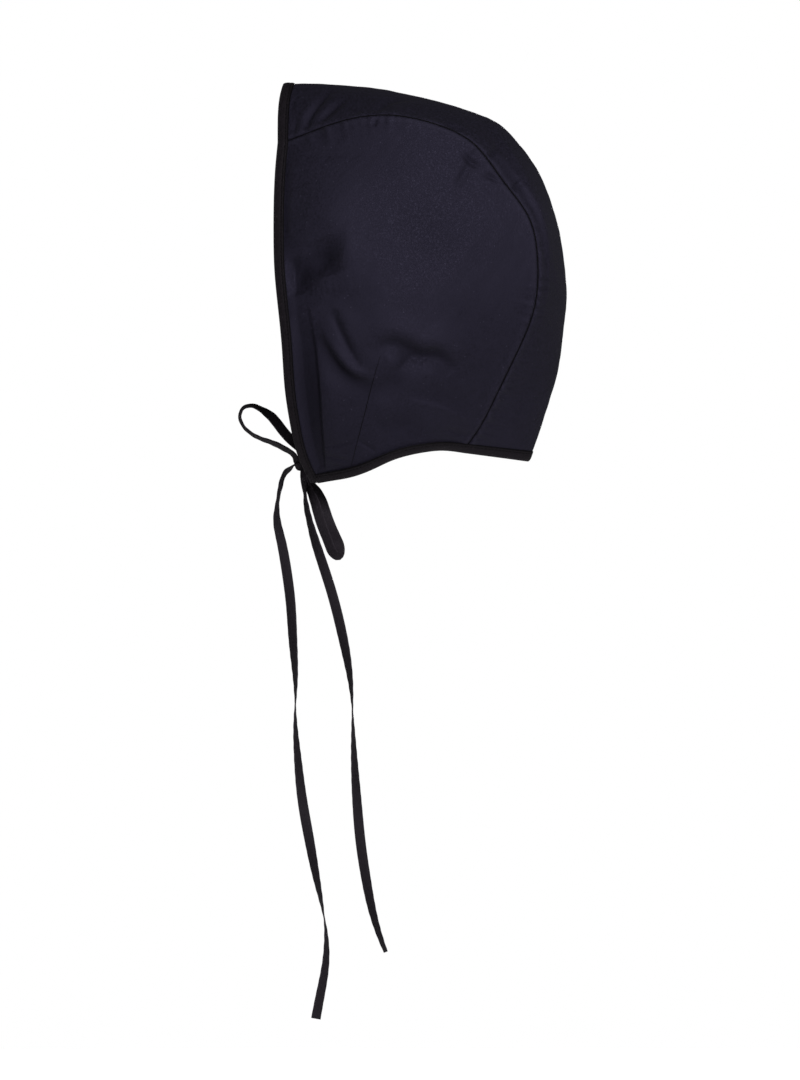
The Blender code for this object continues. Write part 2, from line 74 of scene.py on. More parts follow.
camera_data = bpy.data.cameras.new("camera")
camera_data.sensor_fit = "VERTICAL"
camera_data.sensor_height = SENSOR_HEIGHT_MM
camera_data.lens = SENSOR_HEIGHT_MM * CAMERA_DISTANCE / PICTURE_HEIGHT
camera_data.clip_end = 4 * CAMERA_DISTANCE
camera = bpy.data.objects.new("camera", camera_data)
camera.location = PICTURE_MIDDLE + (CAMERA_DISTANCE, 0.0, 0.0)
camera.rotation_euler = (np.pi / 2, 0.0, np.pi / 2)
bpy.context.scene.collection.objects.link(camera)
bpy.context.scene.camera = camera
print("lens, mm:", round(camera_data.lens))

# %% [markdown]
# ## Sizes
#
# These are the sizes of the CAD model, repeated here because the scene reads nothing but the
# frame. The hood, tapes and knot are worked out from them and from the tables further down.

# %% Sizes, in metres
HOOD_HEIGHT = 0.300
HOOD_DEPTH = 0.216
HOOD_WIDTH = 0.154
CROWN_WIDTH = 0.106
FACE_WIDTH = 0.123
NECK_WIDTH = 0.104
CHIN_GAP = 0.038
CAD_CLOTH = 0.0012
TAPE_WIDTH = 0.007
TIE_WIDTH = 0.0075
KNOT_WIDTH, KNOT_DEPTH, KNOT_HEIGHT = 0.009, 0.009, 0.014
KNOT_FORWARD, KNOT_RISE = 0.0045, 0.0097
KNOT_LEAVE, KNOT_GAP = 0.0018, 0.0004
SEAT_DEPTH = 0.5

CLOTH = 0.0007               # a guess for the real cloth, and thinner than the CAD model's

# %% [markdown]
# ## Smooth lines
#
# Every edge, seam and tie of the bonnet is a smooth line through a few chosen points. A
# natural cubic spline is nearly the curve that a thin batten takes through pins. Blender's
# own curves could do it too, but here whole arrays of points are read from a line at once.

# %% Lines and surfaces from numpy
def unit(vectors):
    """Each vector over its length."""
    return vectors / np.linalg.norm(vectors, axis=-1, keepdims=True)


def spline(places, values, wanted):
    """Cubics between places, with equal slope and bend where they meet and no bend at the ends."""
    places = np.asarray(places, float)
    values = np.asarray(values, float)
    steps = np.diff(places)
    slopes = np.diff(values, axis=0) / steps.reshape([-1] + [1] * (values.ndim - 1))
    inner = np.arange(1, len(places) - 1)
    matrix = np.eye(len(places))
    matrix[inner, inner - 1] = steps[:-1]
    matrix[inner, inner] = 2 * (steps[:-1] + steps[1:])
    matrix[inner, inner + 1] = steps[1:]
    right = np.zeros_like(values)
    right[inner] = 6 * (slopes[1:] - slopes[:-1])
    bends = np.linalg.solve(matrix, right)
    wanted = np.asarray(wanted, float)
    k = np.clip(np.searchsorted(places, wanted) - 1, 0, len(steps) - 1)
    column = [-1] + [1] * (values.ndim - 1)
    ahead = ((wanted - places[k]) / steps[k]).reshape(column)
    behind = 1 - ahead
    bulge = (behind ** 3 - behind) * bends[k] + (ahead ** 3 - ahead) * bends[k + 1]
    return behind * values[k] + ahead * values[k + 1] + bulge * (steps[k] ** 2 / 6).reshape(column)


def lengths_along(points):
    """Sum of the chords from the first point to each point."""
    return np.concatenate([[0.0], np.cumsum(np.linalg.norm(np.diff(points, axis=0), axis=1))])


def smooth_line(points, shares):
    """The spline through the points over their chord lengths, read at shares of its whole length."""
    points = np.asarray(points, float)
    along = lengths_along(points[:, :3])
    return spline(along, points, np.asarray(shares) * along[-1])


def surface_normals(points):
    """Column step x row step at each point of a grid, summed over 5 x 5 neighbours, as a unit vector."""
    normals = np.cross(np.gradient(points, axis=1), np.gradient(points, axis=0))
    rows, columns = points.shape[:2]
    padded = np.pad(normals, ((2, 2), (2, 2), (0, 0)), mode="edge")
    return unit(sum(padded[i:i + rows, j:j + columns] for i in range(5) for j in range(5)))


def from_line(points, line):
    """Distance square to a line, and how far along it, by its nearest sample and the run there.

    The square of the distance from p to a sample q is |p|^2 + |q|^2 - 2 p.q.
    """
    flat = points.reshape(-1, 3)
    squares = (flat ** 2).sum(axis=1)[:, None] + (line ** 2).sum(axis=1) - 2 * flat @ line.T
    nearest = squares.argmin(axis=1)
    run = unit(np.gradient(line, axis=0))[nearest]
    offset = flat - line[nearest]
    ahead = (offset * run).sum(axis=1)
    distance = np.linalg.norm(offset - ahead[:, None] * run, axis=1)
    shape = points.shape[:-1]
    return distance.reshape(shape), (lengths_along(line)[nearest] + ahead).reshape(shape)


def cloth_lengths(points):
    """Sum of the steps along each row and down each column, from the middle of the grid."""
    across = np.linalg.norm(np.diff(points, axis=1), axis=-1)
    down = np.linalg.norm(np.diff(points, axis=0), axis=-1)
    u = np.concatenate([np.zeros((points.shape[0], 1)), np.cumsum(across, axis=1)], axis=1)
    v = np.concatenate([np.zeros((1, points.shape[1])), np.cumsum(down, axis=0)], axis=0)
    u -= u[:, points.shape[1] // 2][:, None]
    v -= v[points.shape[0] // 2][None, :]
    return np.stack([u, v], axis=-1)


def grid_area(points):
    """Sum over the grid's cells of half the cross product of their diagonals."""
    first = points[1:, 1:] - points[:-1, :-1]
    second = points[1:, :-1] - points[:-1, 1:]
    return np.linalg.norm(np.cross(first, second), axis=-1).sum() / 2


# %% Meshes from arrays
def grid_faces(rows, columns, ring=False):
    """Four neighbours of the grid to a face; a ring also joins the last column to the first."""
    number = np.arange(rows * columns).reshape(rows, columns)
    if ring:
        number = np.concatenate([number, number[:, :1]], axis=1)
    corners = (number[:-1, :-1], number[:-1, 1:], number[1:, 1:], number[1:, :-1])
    return np.stack(corners, axis=-1).reshape(-1, 4)


def make_piece(name, points, faces, material, uv=None, wear_and_shade=None):
    """A mesh piece on the root body, with its map in metres, its wear and painted shade, where it has them.
    """
    mesh = bpy.data.meshes.new(name)
    mesh.from_pydata(points.reshape(-1, 3).tolist(), [], [list(face) for face in faces])
    if uv is not None:
        corner = np.zeros(len(mesh.loops), np.int32)
        mesh.loops.foreach_get("vertex_index", corner)
        layer = mesh.uv_layers.new(name="cloth_map")
        layer.data.foreach_set("uv", uv.reshape(-1, 2)[corner].astype(np.float32).ravel())
    if wear_and_shade is not None:
        wear_and_shade_attribute = mesh.attributes.new("wear_and_shade", "FLOAT", "POINT")
        wear_and_shade_attribute.data.foreach_set("value", wear_and_shade.astype(np.float32).ravel())
    mesh.materials.append(material)
    mesh.shade_smooth()
    piece = bpy.data.objects.new(name, mesh)
    bpy.context.scene.collection.objects.link(piece)
    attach(piece, "root")
    print(f"{name}: {len(mesh.polygons)} faces")
    return piece


def give_thickness(piece, thickness, offset):
    """Solidify: the surface again at the thickness along its normals, and a rim between the two."""
    wall = piece.modifiers.new("Thickness", "SOLIDIFY")
    wall.thickness = thickness
    wall.offset = offset


# %% [markdown]
# ## What the cloth and tapes are made of
#
# Plain cotton is a checkerboard of threads that pass over and under each other. The weave is
# one node group that both cloth and tape use, each with its own thread count. It reads the
# map in metres that each piece carries, so threads turn and bend with the cloth. A second
# group gives slow drifts of shade, because no dyed cloth is one colour, and a fine grain and
# specks of lint.

# %% Node helpers
def new_group(name, inputs, outputs):
    """An empty shader node group with its named sockets: (group, its input node, its output node)."""
    group = bpy.data.node_groups.new(name, "ShaderNodeTree")
    for socket, kind, value in inputs:
        made = group.interface.new_socket(socket, in_out="INPUT", socket_type=kind)
        if value is not None:
            made.default_value = value
    for socket, kind in outputs:
        group.interface.new_socket(socket, in_out="OUTPUT", socket_type=kind)
    return group, group.nodes.new("NodeGroupInput"), group.nodes.new("NodeGroupOutput")


def math_node(tree, operation, first, second=None, third=None):
    """A Math node over sockets or plain numbers; gives its output socket."""
    node = tree.nodes.new("ShaderNodeMath")
    node.operation = operation
    for place, value in enumerate((first, second, third)):
        if isinstance(value, (int, float)):
            node.inputs[place].default_value = value
        elif value is not None:
            tree.links.new(value, node.inputs[place])
    return node.outputs[0]


def weave_group():
    """Over and under: where sin(pi u) sin(pi v) > 0 the height is |sin(pi u)|, elsewhere |sin(pi v)|."""
    tree, given, made = new_group(
        "plain weave",
        [("Map", "NodeSocketVector", None), ("Threads a metre", "NodeSocketFloat", 2800.0),
         ("Slub", "NodeSocketFloat", 0.3)],
        [("Height", "NodeSocketFloat"), ("Shade", "NodeSocketFloat")])
    scaled = tree.nodes.new("ShaderNodeVectorMath")
    scaled.operation = "SCALE"
    tree.links.new(given.outputs["Map"], scaled.inputs[0])
    tree.links.new(given.outputs["Threads a metre"], scaled.inputs["Scale"])
    parts = tree.nodes.new("ShaderNodeSeparateXYZ")
    tree.links.new(scaled.outputs[0], parts.inputs[0])
    waves = [math_node(tree, "SINE", math_node(tree, "MULTIPLY", parts.outputs[k], np.pi)) for k in (0, 1)]
    over = math_node(tree, "GREATER_THAN", math_node(tree, "MULTIPLY", *waves), 0.0)
    warp, weft = (math_node(tree, "ABSOLUTE", wave) for wave in waves)
    difference = math_node(tree, "SUBTRACT", warp, weft)
    threads = math_node(tree, "MULTIPLY_ADD", difference, over, weft)
    slub = tree.nodes.new("ShaderNodeTexNoise")
    slub.inputs["Scale"].default_value = 0.16
    slub.inputs["Detail"].default_value = 2.0
    tree.links.new(scaled.outputs[0], slub.inputs["Vector"])
    drift = math_node(tree, "SUBTRACT", slub.outputs["Fac"], 0.5)
    height = math_node(tree, "MULTIPLY_ADD", drift, given.outputs["Slub"], threads)
    tree.links.new(height, made.inputs["Height"])
    tree.links.new(math_node(tree, "MULTIPLY_ADD", threads, 0.5, 0.5), made.inputs["Shade"])
    return tree


def drift_group():
    """Noise at a large and a small size: 1 + amount * (large + 8 small), each from -1/2 to 1/2."""
    tree, given, made = new_group(
        "drifting shade",
        [("Place", "NodeSocketVector", None), ("Amount", "NodeSocketFloat", 0.2)],
        [("Factor", "NodeSocketFloat"), ("Specks", "NodeSocketFloat"), ("Grain", "NodeSocketFloat")])
    sizes = []
    for scale, detail in ((26.0, 3.0), (760.0, 2.0)):
        noise = tree.nodes.new("ShaderNodeTexNoise")
        noise.inputs["Scale"].default_value = scale
        noise.inputs["Detail"].default_value = detail
        tree.links.new(given.outputs["Place"], noise.inputs["Vector"])
        sizes.append(math_node(tree, "SUBTRACT", noise.outputs["Fac"], 0.5))
    both = math_node(tree, "MULTIPLY_ADD", sizes[1], 8.0, sizes[0])
    tree.links.new(math_node(tree, "MULTIPLY_ADD", both, given.outputs["Amount"], 1.0), made.inputs["Factor"])
    tree.links.new(sizes[1], made.inputs["Grain"])
    lint = tree.nodes.new("ShaderNodeTexVoronoi")
    lint.inputs["Scale"].default_value = 150.0
    tree.links.new(given.outputs["Place"], lint.inputs["Vector"])
    speck = math_node(tree, "LESS_THAN", lint.outputs["Distance"], 0.075)
    tree.links.new(speck, made.inputs["Specks"])
    return tree


WEAVE = weave_group()
DRIFT = drift_group()
print("node groups:", WEAVE.name, "and", DRIFT.name)

# %% [markdown]
# ## Cloth and tape finishes
#
# Cotton is matt with a faint bloom of loose fibres, which is what sheen is for. The cloth
# wears lighter where it stands proud, beside seams and on folds. In hollows and seams its colour
# is darkened by their depth, which is painted shade. The mesh carries both in one attribute,
# above zero for wear and below zero for the painted shade.
# The tape is the same kind of weave, cut on the bias, so its map is turned by 45 degrees.

# %% Materials
WEAVE_DEPTH = 0.00002


def cotton(name, colour, worn_colour, threads, gloss_tint, bias=False, drift=0.3, roughness=0.74,
           gloss=0.25):
    """A woven finish: colour drifts, lightens with wear, takes painted shade in hollows, threads bump it."""
    material = bpy.data.materials.new(name)
    material.use_nodes = True
    tree = material.node_tree
    shader = tree.nodes["Principled BSDF"]
    shader.inputs["Metallic"].default_value = 0.0
    shader.inputs["Specular IOR Level"].default_value = gloss
    shader.inputs["Specular Tint"].default_value = (*gloss_tint, 1.0)
    shader.inputs["Sheen Weight"].default_value = 0.008
    shader.inputs["Sheen Roughness"].default_value = 0.6
    cloth_map = tree.nodes.new("ShaderNodeUVMap")
    cloth_map.uv_map = "cloth_map"
    turned = tree.nodes.new("ShaderNodeMapping")
    turned.inputs["Rotation"].default_value = (0.0, 0.0, np.radians(45.0) if bias else 0.0)
    tree.links.new(cloth_map.outputs[0], turned.inputs["Vector"])
    weave = tree.nodes.new("ShaderNodeGroup")
    weave.node_tree = WEAVE
    weave.inputs["Threads a metre"].default_value = threads
    weave.inputs["Slub"].default_value = 0.4
    tree.links.new(turned.outputs[0], weave.inputs["Map"])
    place = tree.nodes.new("ShaderNodeTexCoord")
    shade = tree.nodes.new("ShaderNodeGroup")
    shade.node_tree = DRIFT
    shade.inputs["Amount"].default_value = drift
    tree.links.new(place.outputs["Object"], shade.inputs["Place"])
    wear_and_shade_attribute = tree.nodes.new("ShaderNodeAttribute")
    wear_and_shade_attribute.attribute_name = "wear_and_shade"
    mixed = tree.nodes.new("ShaderNodeMix")
    mixed.data_type = "RGBA"
    mixed.inputs["A"].default_value = (*colour, 1.0)
    mixed.inputs["B"].default_value = (*worn_colour, 1.0)
    lifted = math_node(tree, "MULTIPLY_ADD", shade.outputs["Specks"], 1.1, wear_and_shade_attribute.outputs["Fac"])
    tree.links.new(lifted, mixed.inputs["Factor"])
    varied = tree.nodes.new("ShaderNodeVectorMath")
    varied.operation = "SCALE"
    tree.links.new(mixed.outputs["Result"], varied.inputs[0])
    # Painted shade: below zero the attribute scales the colour down, in hollows, seams and along tape rims.
    hollow = math_node(tree, "ADD", math_node(tree, "MINIMUM", wear_and_shade_attribute.outputs["Fac"], 0.0), 1.0)
    level = math_node(tree, "MULTIPLY", shade.outputs["Factor"], weave.outputs["Shade"])
    tree.links.new(math_node(tree, "MULTIPLY", level, hollow), varied.inputs["Scale"])
    tree.links.new(varied.outputs[0], shader.inputs["Base Color"])
    rough = math_node(tree, "MULTIPLY_ADD", weave.outputs["Height"], -0.08, roughness)
    rough = math_node(tree, "MULTIPLY_ADD", shade.outputs["Grain"], 0.8, rough)
    tree.links.new(rough, shader.inputs["Roughness"])
    bump = tree.nodes.new("ShaderNodeBump")
    bump.inputs["Distance"].default_value = WEAVE_DEPTH
    bump.inputs["Strength"].default_value = 1.0
    nap = math_node(tree, "MULTIPLY_ADD", shade.outputs["Grain"], 5.0, weave.outputs["Height"])
    tree.links.new(nap, bump.inputs["Height"])
    tree.links.new(bump.outputs[0], shader.inputs["Normal"])
    return material


def thread_finish(name, colour):
    """Sewing thread: fine noise between a darker and a lighter shade, with very little gloss."""
    material = bpy.data.materials.new(name)
    material.use_nodes = True
    tree = material.node_tree
    shader = tree.nodes["Principled BSDF"]
    shader.inputs["Specular IOR Level"].default_value = 0.08
    place = tree.nodes.new("ShaderNodeTexCoord")
    twist = tree.nodes.new("ShaderNodeTexNoise")
    twist.inputs["Scale"].default_value = 2600.0
    tree.links.new(place.outputs["Object"], twist.inputs["Vector"])
    shades = tree.nodes.new("ShaderNodeMix")
    shades.data_type = "RGBA"
    shades.inputs["A"].default_value = (*[0.6 * part for part in colour], 1.0)
    shades.inputs["B"].default_value = (*[1.5 * part for part in colour], 1.0)
    tree.links.new(twist.outputs["Fac"], shades.inputs["Factor"])
    tree.links.new(shades.outputs["Result"], shader.inputs["Base Color"])
    rough = math_node(tree, "MULTIPLY_ADD", twist.outputs["Fac"], 0.2, 0.5)
    tree.links.new(rough, shader.inputs["Roughness"])
    return material


NAVY = cotton("navy cotton", (0.0098, 0.0088, 0.0150), (0.026, 0.024, 0.038), 2800.0, (0.66, 0.60, 1.0))
TAPE = cotton("dark bias tape", (0.0078, 0.0062, 0.0082), (0.020, 0.016, 0.020), 2600.0, (0.9, 0.8, 0.95),
              bias=True, gloss=0.16)
TIE = cotton("dark tie tape", (0.0105, 0.0085, 0.0110), (0.026, 0.021, 0.027), 2600.0, (0.9, 0.8, 0.95),
             gloss=0.2)
THREAD = thread_finish("black thread", (0.0022, 0.0018, 0.0026))
print("materials:", [material.name for material in bpy.data.materials])

# %% [markdown]
# ## The hood's outline
#
# A table gives the centre panel in sections from the forehead to the nape: where its seam
# and its middle fold lie, as shares of the hood's depth and height, and how wide and how
# round it is there. The face edge and the neck edge have a table each. Sculpting by hand
# would give a hood too, but not one whose sizes can be changed.

# %% Tables of the hood
Section = namedtuple(
    "Section", "seam_depth seam_height spine_depth spine_height half_width roundness crease corner")
CROWN_SECTIONS = (
    Section(0.022, 0.847, 0.041, 0.994, 0.67, 0.90, 0.00, 4.0),
    Section(0.127, 0.876, 0.131, 0.996, 0.78, 0.90, 0.00, 2.0),
    Section(0.244, 0.905, 0.254, 0.991, 0.89, 0.90, 0.00, 1.0),
    Section(0.409, 0.917, 0.419, 0.975, 0.98, 0.85, 0.00, 1.0),
    Section(0.543, 0.898, 0.570, 0.950, 1.00, 0.80, 0.03, 1.0),
    Section(0.684, 0.848, 0.739, 0.906, 0.99, 0.75, 0.10, 1.0),
    Section(0.787, 0.755, 0.883, 0.805, 0.98, 0.70, 0.18, 1.0),
    Section(0.880, 0.658, 0.959, 0.678, 0.99, 0.70, 0.21, 1.0),
    Section(0.907, 0.555, 0.990, 0.555, 0.99, 0.70, 0.20, 1.0),
    Section(0.897, 0.443, 1.000, 0.443, 0.97, 0.70, 0.10, 1.0),
    Section(0.835, 0.327, 0.979, 0.297, 0.91, 0.65, 0.03, 1.0),
    Section(0.763, 0.220, 0.935, 0.186, 0.82, 0.60, 0.00, 1.0),
    Section(0.687, 0.121, 0.893, 0.094, 0.69, 0.55, 0.00, 1.0),
    Section(0.650, 0.088, 0.876, 0.067, 0.60, 0.55, 0.00, 1.0),
)
CREASE_COLUMN = 0.86
CORNER_SECTION = 8

EdgePoint = namedtuple("EdgePoint", "depth height breadth")
CHIN_CORNER = (0.132, 0.010)
FACE_EDGE = (
    EdgePoint(0.015, 0.795, 0.650),
    EdgePoint(0.009, 0.708, 0.765),
    EdgePoint(0.008, 0.621, 0.870),
    EdgePoint(0.011, 0.535, 0.950),
    EdgePoint(0.024, 0.436, 1.000),
    EdgePoint(0.037, 0.337, 0.990),
    EdgePoint(0.046, 0.243, 0.895),
    EdgePoint(0.062, 0.163, 0.750),
    EdgePoint(0.091, 0.074, 0.535),
)
NECK_EDGE = (
    EdgePoint(0.192, 0.018, 0.580),
    EdgePoint(0.275, 0.030, 0.840),
    EdgePoint(0.344, 0.049, 0.960),
    EdgePoint(0.399, 0.067, 1.000),
    EdgePoint(0.450, 0.079, 0.980),
    EdgePoint(0.519, 0.089, 0.900),
    EdgePoint(0.584, 0.093, 0.765),
)


def seat_height():
    """The spline of spine height over spine depth, read at the seat's depth."""
    crown = CROWN_SECTIONS[:CORNER_SECTION + 1]
    return spline([row.spine_depth for row in crown], [row.spine_height for row in crown], [SEAT_DEPTH])[0]


SEAT_HEIGHT = seat_height()


def place(breadth, depth, height):
    """World points: x is the breadth, y and z are shares of the hood's depth and height from the seat."""
    y = (np.asarray(depth) - SEAT_DEPTH) * HOOD_DEPTH
    z = (np.asarray(height) - SEAT_HEIGHT) * HOOD_HEIGHT + CAD_CLOTH
    return np.stack(np.broadcast_arrays(breadth, y, z), axis=-1)


print("seat height, share of the hood:", round(float(SEAT_HEIGHT), 4))

# %% [markdown]
# ## The ties
#
# Each tie is one tape, sewn to a chin corner. It goes to the knot, out in a loop, back
# through the knot, and hangs down as a tail. Tape has no stiffness to speak of, so the loops
# flop and the tails twist as they hang. The routes are the CAD model's, a point for each
# bend, but for the twist of the loops and the end of the low one, which are laid closer to
# the picture here. The turn is the tape's twist: at 0 its full width shows from the side.

# %% Routes from the knot's centre, in metres
RoutePoint = namedtuple("RoutePoint", "forward up across turn")
FRONT_LOOP_ROUTE = (
    RoutePoint(0.0050, 0.0140, -0.001, 60),
    RoutePoint(0.0085, 0.0185, -0.003, 30),
    RoutePoint(0.0137, 0.0240, -0.005, 14),
    RoutePoint(0.0197, 0.0313, -0.008, 12),
    RoutePoint(0.0263, 0.0392, -0.011, 25),
    RoutePoint(0.0330, 0.0441, -0.014, 55),
    RoutePoint(0.0404, 0.0471, -0.017, 68),
    RoutePoint(0.0460, 0.0460, -0.018, 73),
    RoutePoint(0.0493, 0.0412, -0.019, 75),
    RoutePoint(0.0491, 0.0364, -0.018, 75),
    RoutePoint(0.0464, 0.0312, -0.017, 75),
    RoutePoint(0.0419, 0.0269, -0.015, 73),
    RoutePoint(0.0360, 0.0234, -0.013, 70),
    RoutePoint(0.0286, 0.0206, -0.010, 66),
    RoutePoint(0.0211, 0.0176, -0.007, 60),
    RoutePoint(0.0137, 0.0136, -0.004, 62),
    RoutePoint(0.0086, 0.0089, -0.001, 60),
)
LOW_LOOP_ROUTE = (
    RoutePoint(-0.0030, -0.0165, 0.002, 45),
    RoutePoint(-0.0067, -0.0260, 0.004, 20),
    RoutePoint(-0.0100, -0.0371, 0.006, 6),
    RoutePoint(-0.0137, -0.0475, 0.008, 12),
    RoutePoint(-0.0171, -0.0564, 0.010, 18),
    RoutePoint(-0.0200, -0.0623, 0.011, 22),
    RoutePoint(-0.0234, -0.0646, 0.011, 28),
    RoutePoint(-0.0250, -0.0608, 0.009, 20),
    RoutePoint(-0.0233, -0.0534, 0.006, 18),
    RoutePoint(-0.0191, -0.0445, 0.001, 8),
    RoutePoint(-0.0151, -0.0341, -0.001, 8),
    RoutePoint(-0.0115, -0.0230, -0.002, 26),
    RoutePoint(-0.0067, -0.0145, -0.001, 46),
)
LONG_TAIL_ROUTE = (
    RoutePoint(0.0085, 0.0028, 0.000, -82),
    RoutePoint(0.0122, 0.0006, -0.001, -68),
    RoutePoint(0.0164, -0.0039, -0.002, -66),
    RoutePoint(0.0189, -0.0111, -0.003, -66),
    RoutePoint(0.0210, -0.0215, -0.004, -74),
    RoutePoint(0.0219, -0.0378, -0.005, -45),
    RoutePoint(0.0189, -0.0527, -0.006, -22),
    RoutePoint(0.0160, -0.0675, -0.007, -8),
    RoutePoint(0.0137, -0.0824, -0.008, 2),
    RoutePoint(0.0119, -0.0972, -0.009, 12),
    RoutePoint(0.0100, -0.1269, -0.009, 32),
    RoutePoint(0.0082, -0.1566, -0.009, 66),
    RoutePoint(0.0082, -0.1862, -0.009, 104),
    RoutePoint(0.0063, -0.2159, -0.008, 136),
    RoutePoint(0.0030, -0.2456, -0.007, 164),
    RoutePoint(-0.0022, -0.2753, -0.006, 194),
    RoutePoint(-0.0078, -0.3050, -0.006, 230),
    RoutePoint(-0.0134, -0.3346, -0.007, 272),
    RoutePoint(-0.0145, -0.3643, -0.008, 310),
    RoutePoint(-0.0096, -0.3940, -0.009, 334),
    RoutePoint(-0.0070, -0.4081, -0.009, 340),
)
SHORT_TAIL_ROUTE = (
    RoutePoint(0.0013, -0.0165, 0.001, 74),
    RoutePoint(0.0003, -0.0260, 0.002, 64),
    RoutePoint(-0.0022, -0.0378, 0.003, 54),
    RoutePoint(-0.0063, -0.0527, 0.005, 32),
    RoutePoint(-0.0111, -0.0675, 0.006, 15),
    RoutePoint(-0.0160, -0.0824, 0.007, 4),
    RoutePoint(-0.0204, -0.0972, 0.008, 2),
    RoutePoint(-0.0275, -0.1269, 0.009, 22),
    RoutePoint(-0.0326, -0.1566, 0.010, 62),
    RoutePoint(-0.0345, -0.1862, 0.010, 98),
    RoutePoint(-0.0356, -0.2159, 0.010, 128),
    RoutePoint(-0.0375, -0.2456, 0.009, 156),
    RoutePoint(-0.0401, -0.2753, 0.009, 180),
    RoutePoint(-0.0445, -0.3050, 0.008, 200),
    RoutePoint(-0.0508, -0.3346, 0.008, 228),
    RoutePoint(-0.0556, -0.3495, 0.008, 242),
    RoutePoint(-0.0590, -0.3584, 0.008, 250),
)
TOP_EXIT = 0.0012
FRONT_LOOP_RETURN = 0.0050
LONG_TAIL_EXIT = 0.0020
SHORT_TAIL_EXIT = 0.0018
LOW_LOOP_EXIT = -0.0006
LOW_LOOP_RETURN = -0.0030

chin = place(CHIN_GAP / 2, *CHIN_CORNER)
KNOT = np.array([0.0, chin[1] - KNOT_FORWARD, chin[2] + KNOT_RISE])
print("knot centre:", KNOT.round(4))

# %% [markdown]
# The tape itself is a strip folded in half and stitched near its open edge. Its section is a
# flat ring: domed faces, a fat fold on one side, thin stitched edges on the other, and a
# small dip where the stitching pulls the layers together. That section is carried along the
# route and turned by the twist given at each point, which is judged from the picture.

# %% The tape's section, carried along a line
TAPE_FACE = (  # share of half the width, and half the thickness in metres
    (-1.00, 0.00005), (-0.97, 0.00030), (-0.88, 0.00040), (-0.74, 0.00022), (-0.60, 0.00042),
    (-0.30, 0.00050), (0.00, 0.00052), (0.35, 0.00054), (0.70, 0.00056), (0.92, 0.00050),
    (0.985, 0.00028), (1.00, 0.00005),
)
TAPE_STEP = 0.0014
KNOT_SINK = 0.0030
KNOT_TURN = 52               # the tape's twist at the knot, in degrees
PUCKER_HEIGHT, PUCKER_LENGTH = 0.00012, 0.0085


def tape_section():
    """The face's points there and, mirrored through the middle, back: a closed ring (across, through)."""
    face = np.array(TAPE_FACE) * (TIE_WIDTH / 2, 1.0)
    return np.concatenate([face, face[::-1] * (1, -1)])


def twisted_frames(centre, turn):
    """Width = cos(turn) * (X x run) + sin(turn) * (run x (X x run)); through = run x width."""
    run = unit(np.gradient(centre, axis=0))
    aside = unit(np.cross((1.0, 0.0, 0.0), run))
    width = np.cos(turn) * aside + np.sin(turn) * np.cross(run, aside)
    return width, np.cross(run, width)


def carry_tape(centre, width, through):
    """Point = centre + across * width + (depth + pucker wave) * through, for each point of the section."""
    section = tape_section()
    along = lengths_along(centre)
    edge = section[:, 0] / (TIE_WIDTH / 2)
    wave = PUCKER_HEIGHT * np.sin(2 * np.pi * along / PUCKER_LENGTH)[:, None] * edge[None, :] ** 2
    depth = section[None, :, 1] + wave
    across = section[None, :, 0, None] * width[:, None]
    points = centre[:, None] + across + depth[..., None] * through[:, None]
    ring = lengths_along(np.concatenate([section, section[:1]]))[:-1]
    uv = np.stack(np.broadcast_arrays(ring[None, :], along[:, None]), axis=-1)
    wear_and_shade = np.broadcast_to(0.75 * np.abs(edge[None, :]) ** 6, points.shape[:2])
    faces = grid_faces(*points.shape[:2], ring=True)[:, ::-1].tolist()
    size, last = points.shape[1], points.shape[0] * points.shape[1]
    caps = [list(range(size)), list(range(last - size, last))[::-1]]
    return points.reshape(-1, 3), faces + caps, uv.reshape(-1, 2), wear_and_shade.reshape(-1)


def from_knot(forward, up, across=0.0):
    """The knot's centre, less forward along Y, plus up along Z, plus across along X."""
    return KNOT + np.array([across, -forward, up])


def knot_exit(face, place_on_face):
    """Two points on a line square to a face of the knot: one sunk in it, one just outside."""
    reach = {"front": KNOT_DEPTH, "top": KNOT_HEIGHT, "bottom": KNOT_HEIGHT}[face] / 2 + KNOT_GAP
    points = []
    for out in (reach - KNOT_SINK, reach + KNOT_LEAVE):
        forward, up = (out, place_on_face) if face == "front" else (place_on_face, out)
        points.append(from_knot(forward, -up if face == "bottom" else up))
    return points


def free_tape(face, exit_place, route, return_face=None, return_place=None):
    """The spline through exit, route and return, with its turns, as a carried tape and its centre line."""
    square = KNOT_TURN if route[0].turn > 0 else -KNOT_TURN
    line = knot_exit(face, exit_place) + [from_knot(*row[:3]) for row in route]
    turns = [square, square] + [row.turn for row in route]
    if return_face:
        line += knot_exit(return_face, return_place)[::-1]
        turns += [KNOT_TURN, KNOT_TURN]
    table = np.column_stack([line, turns])
    steps = int(lengths_along(table[:, :3])[-1] / TAPE_STEP)
    smooth = smooth_line(table, np.linspace(0, 1, steps + 1))
    centre, turn = smooth[:, :3], np.radians(smooth[:, 3:])
    return centre, carry_tape(centre, *twisted_frames(centre, turn))


LEAD_PLACE = 0.955           # share of the face edge's length at which a tie is sewn on


def lead_tape(side):
    """The spline from the chin corner's fold to the side of the knot, its width kept upright."""
    edge = smooth_line(face_edge_points(), [LEAD_PLACE])[0] * (side, 1, 1)
    towards = unit(KNOT - edge)
    end = KNOT + np.array([side * (KNOT_WIDTH / 2 - KNOT_SINK), 0.0, 0.0])
    leave = KNOT + np.array([side * (KNOT_WIDTH / 2 + KNOT_LEAVE), 0.0, 0.0])
    line = smooth_line([edge, edge + towards * KNOT_LEAVE, leave, end], np.linspace(0, 1, 13))
    run = unit(np.gradient(line, axis=0))
    upright = np.array([0.0, 0.0, 1.0])
    width = unit(upright - (run @ upright)[:, None] * run)
    return line, carry_tape(line, width, np.cross(run, width))


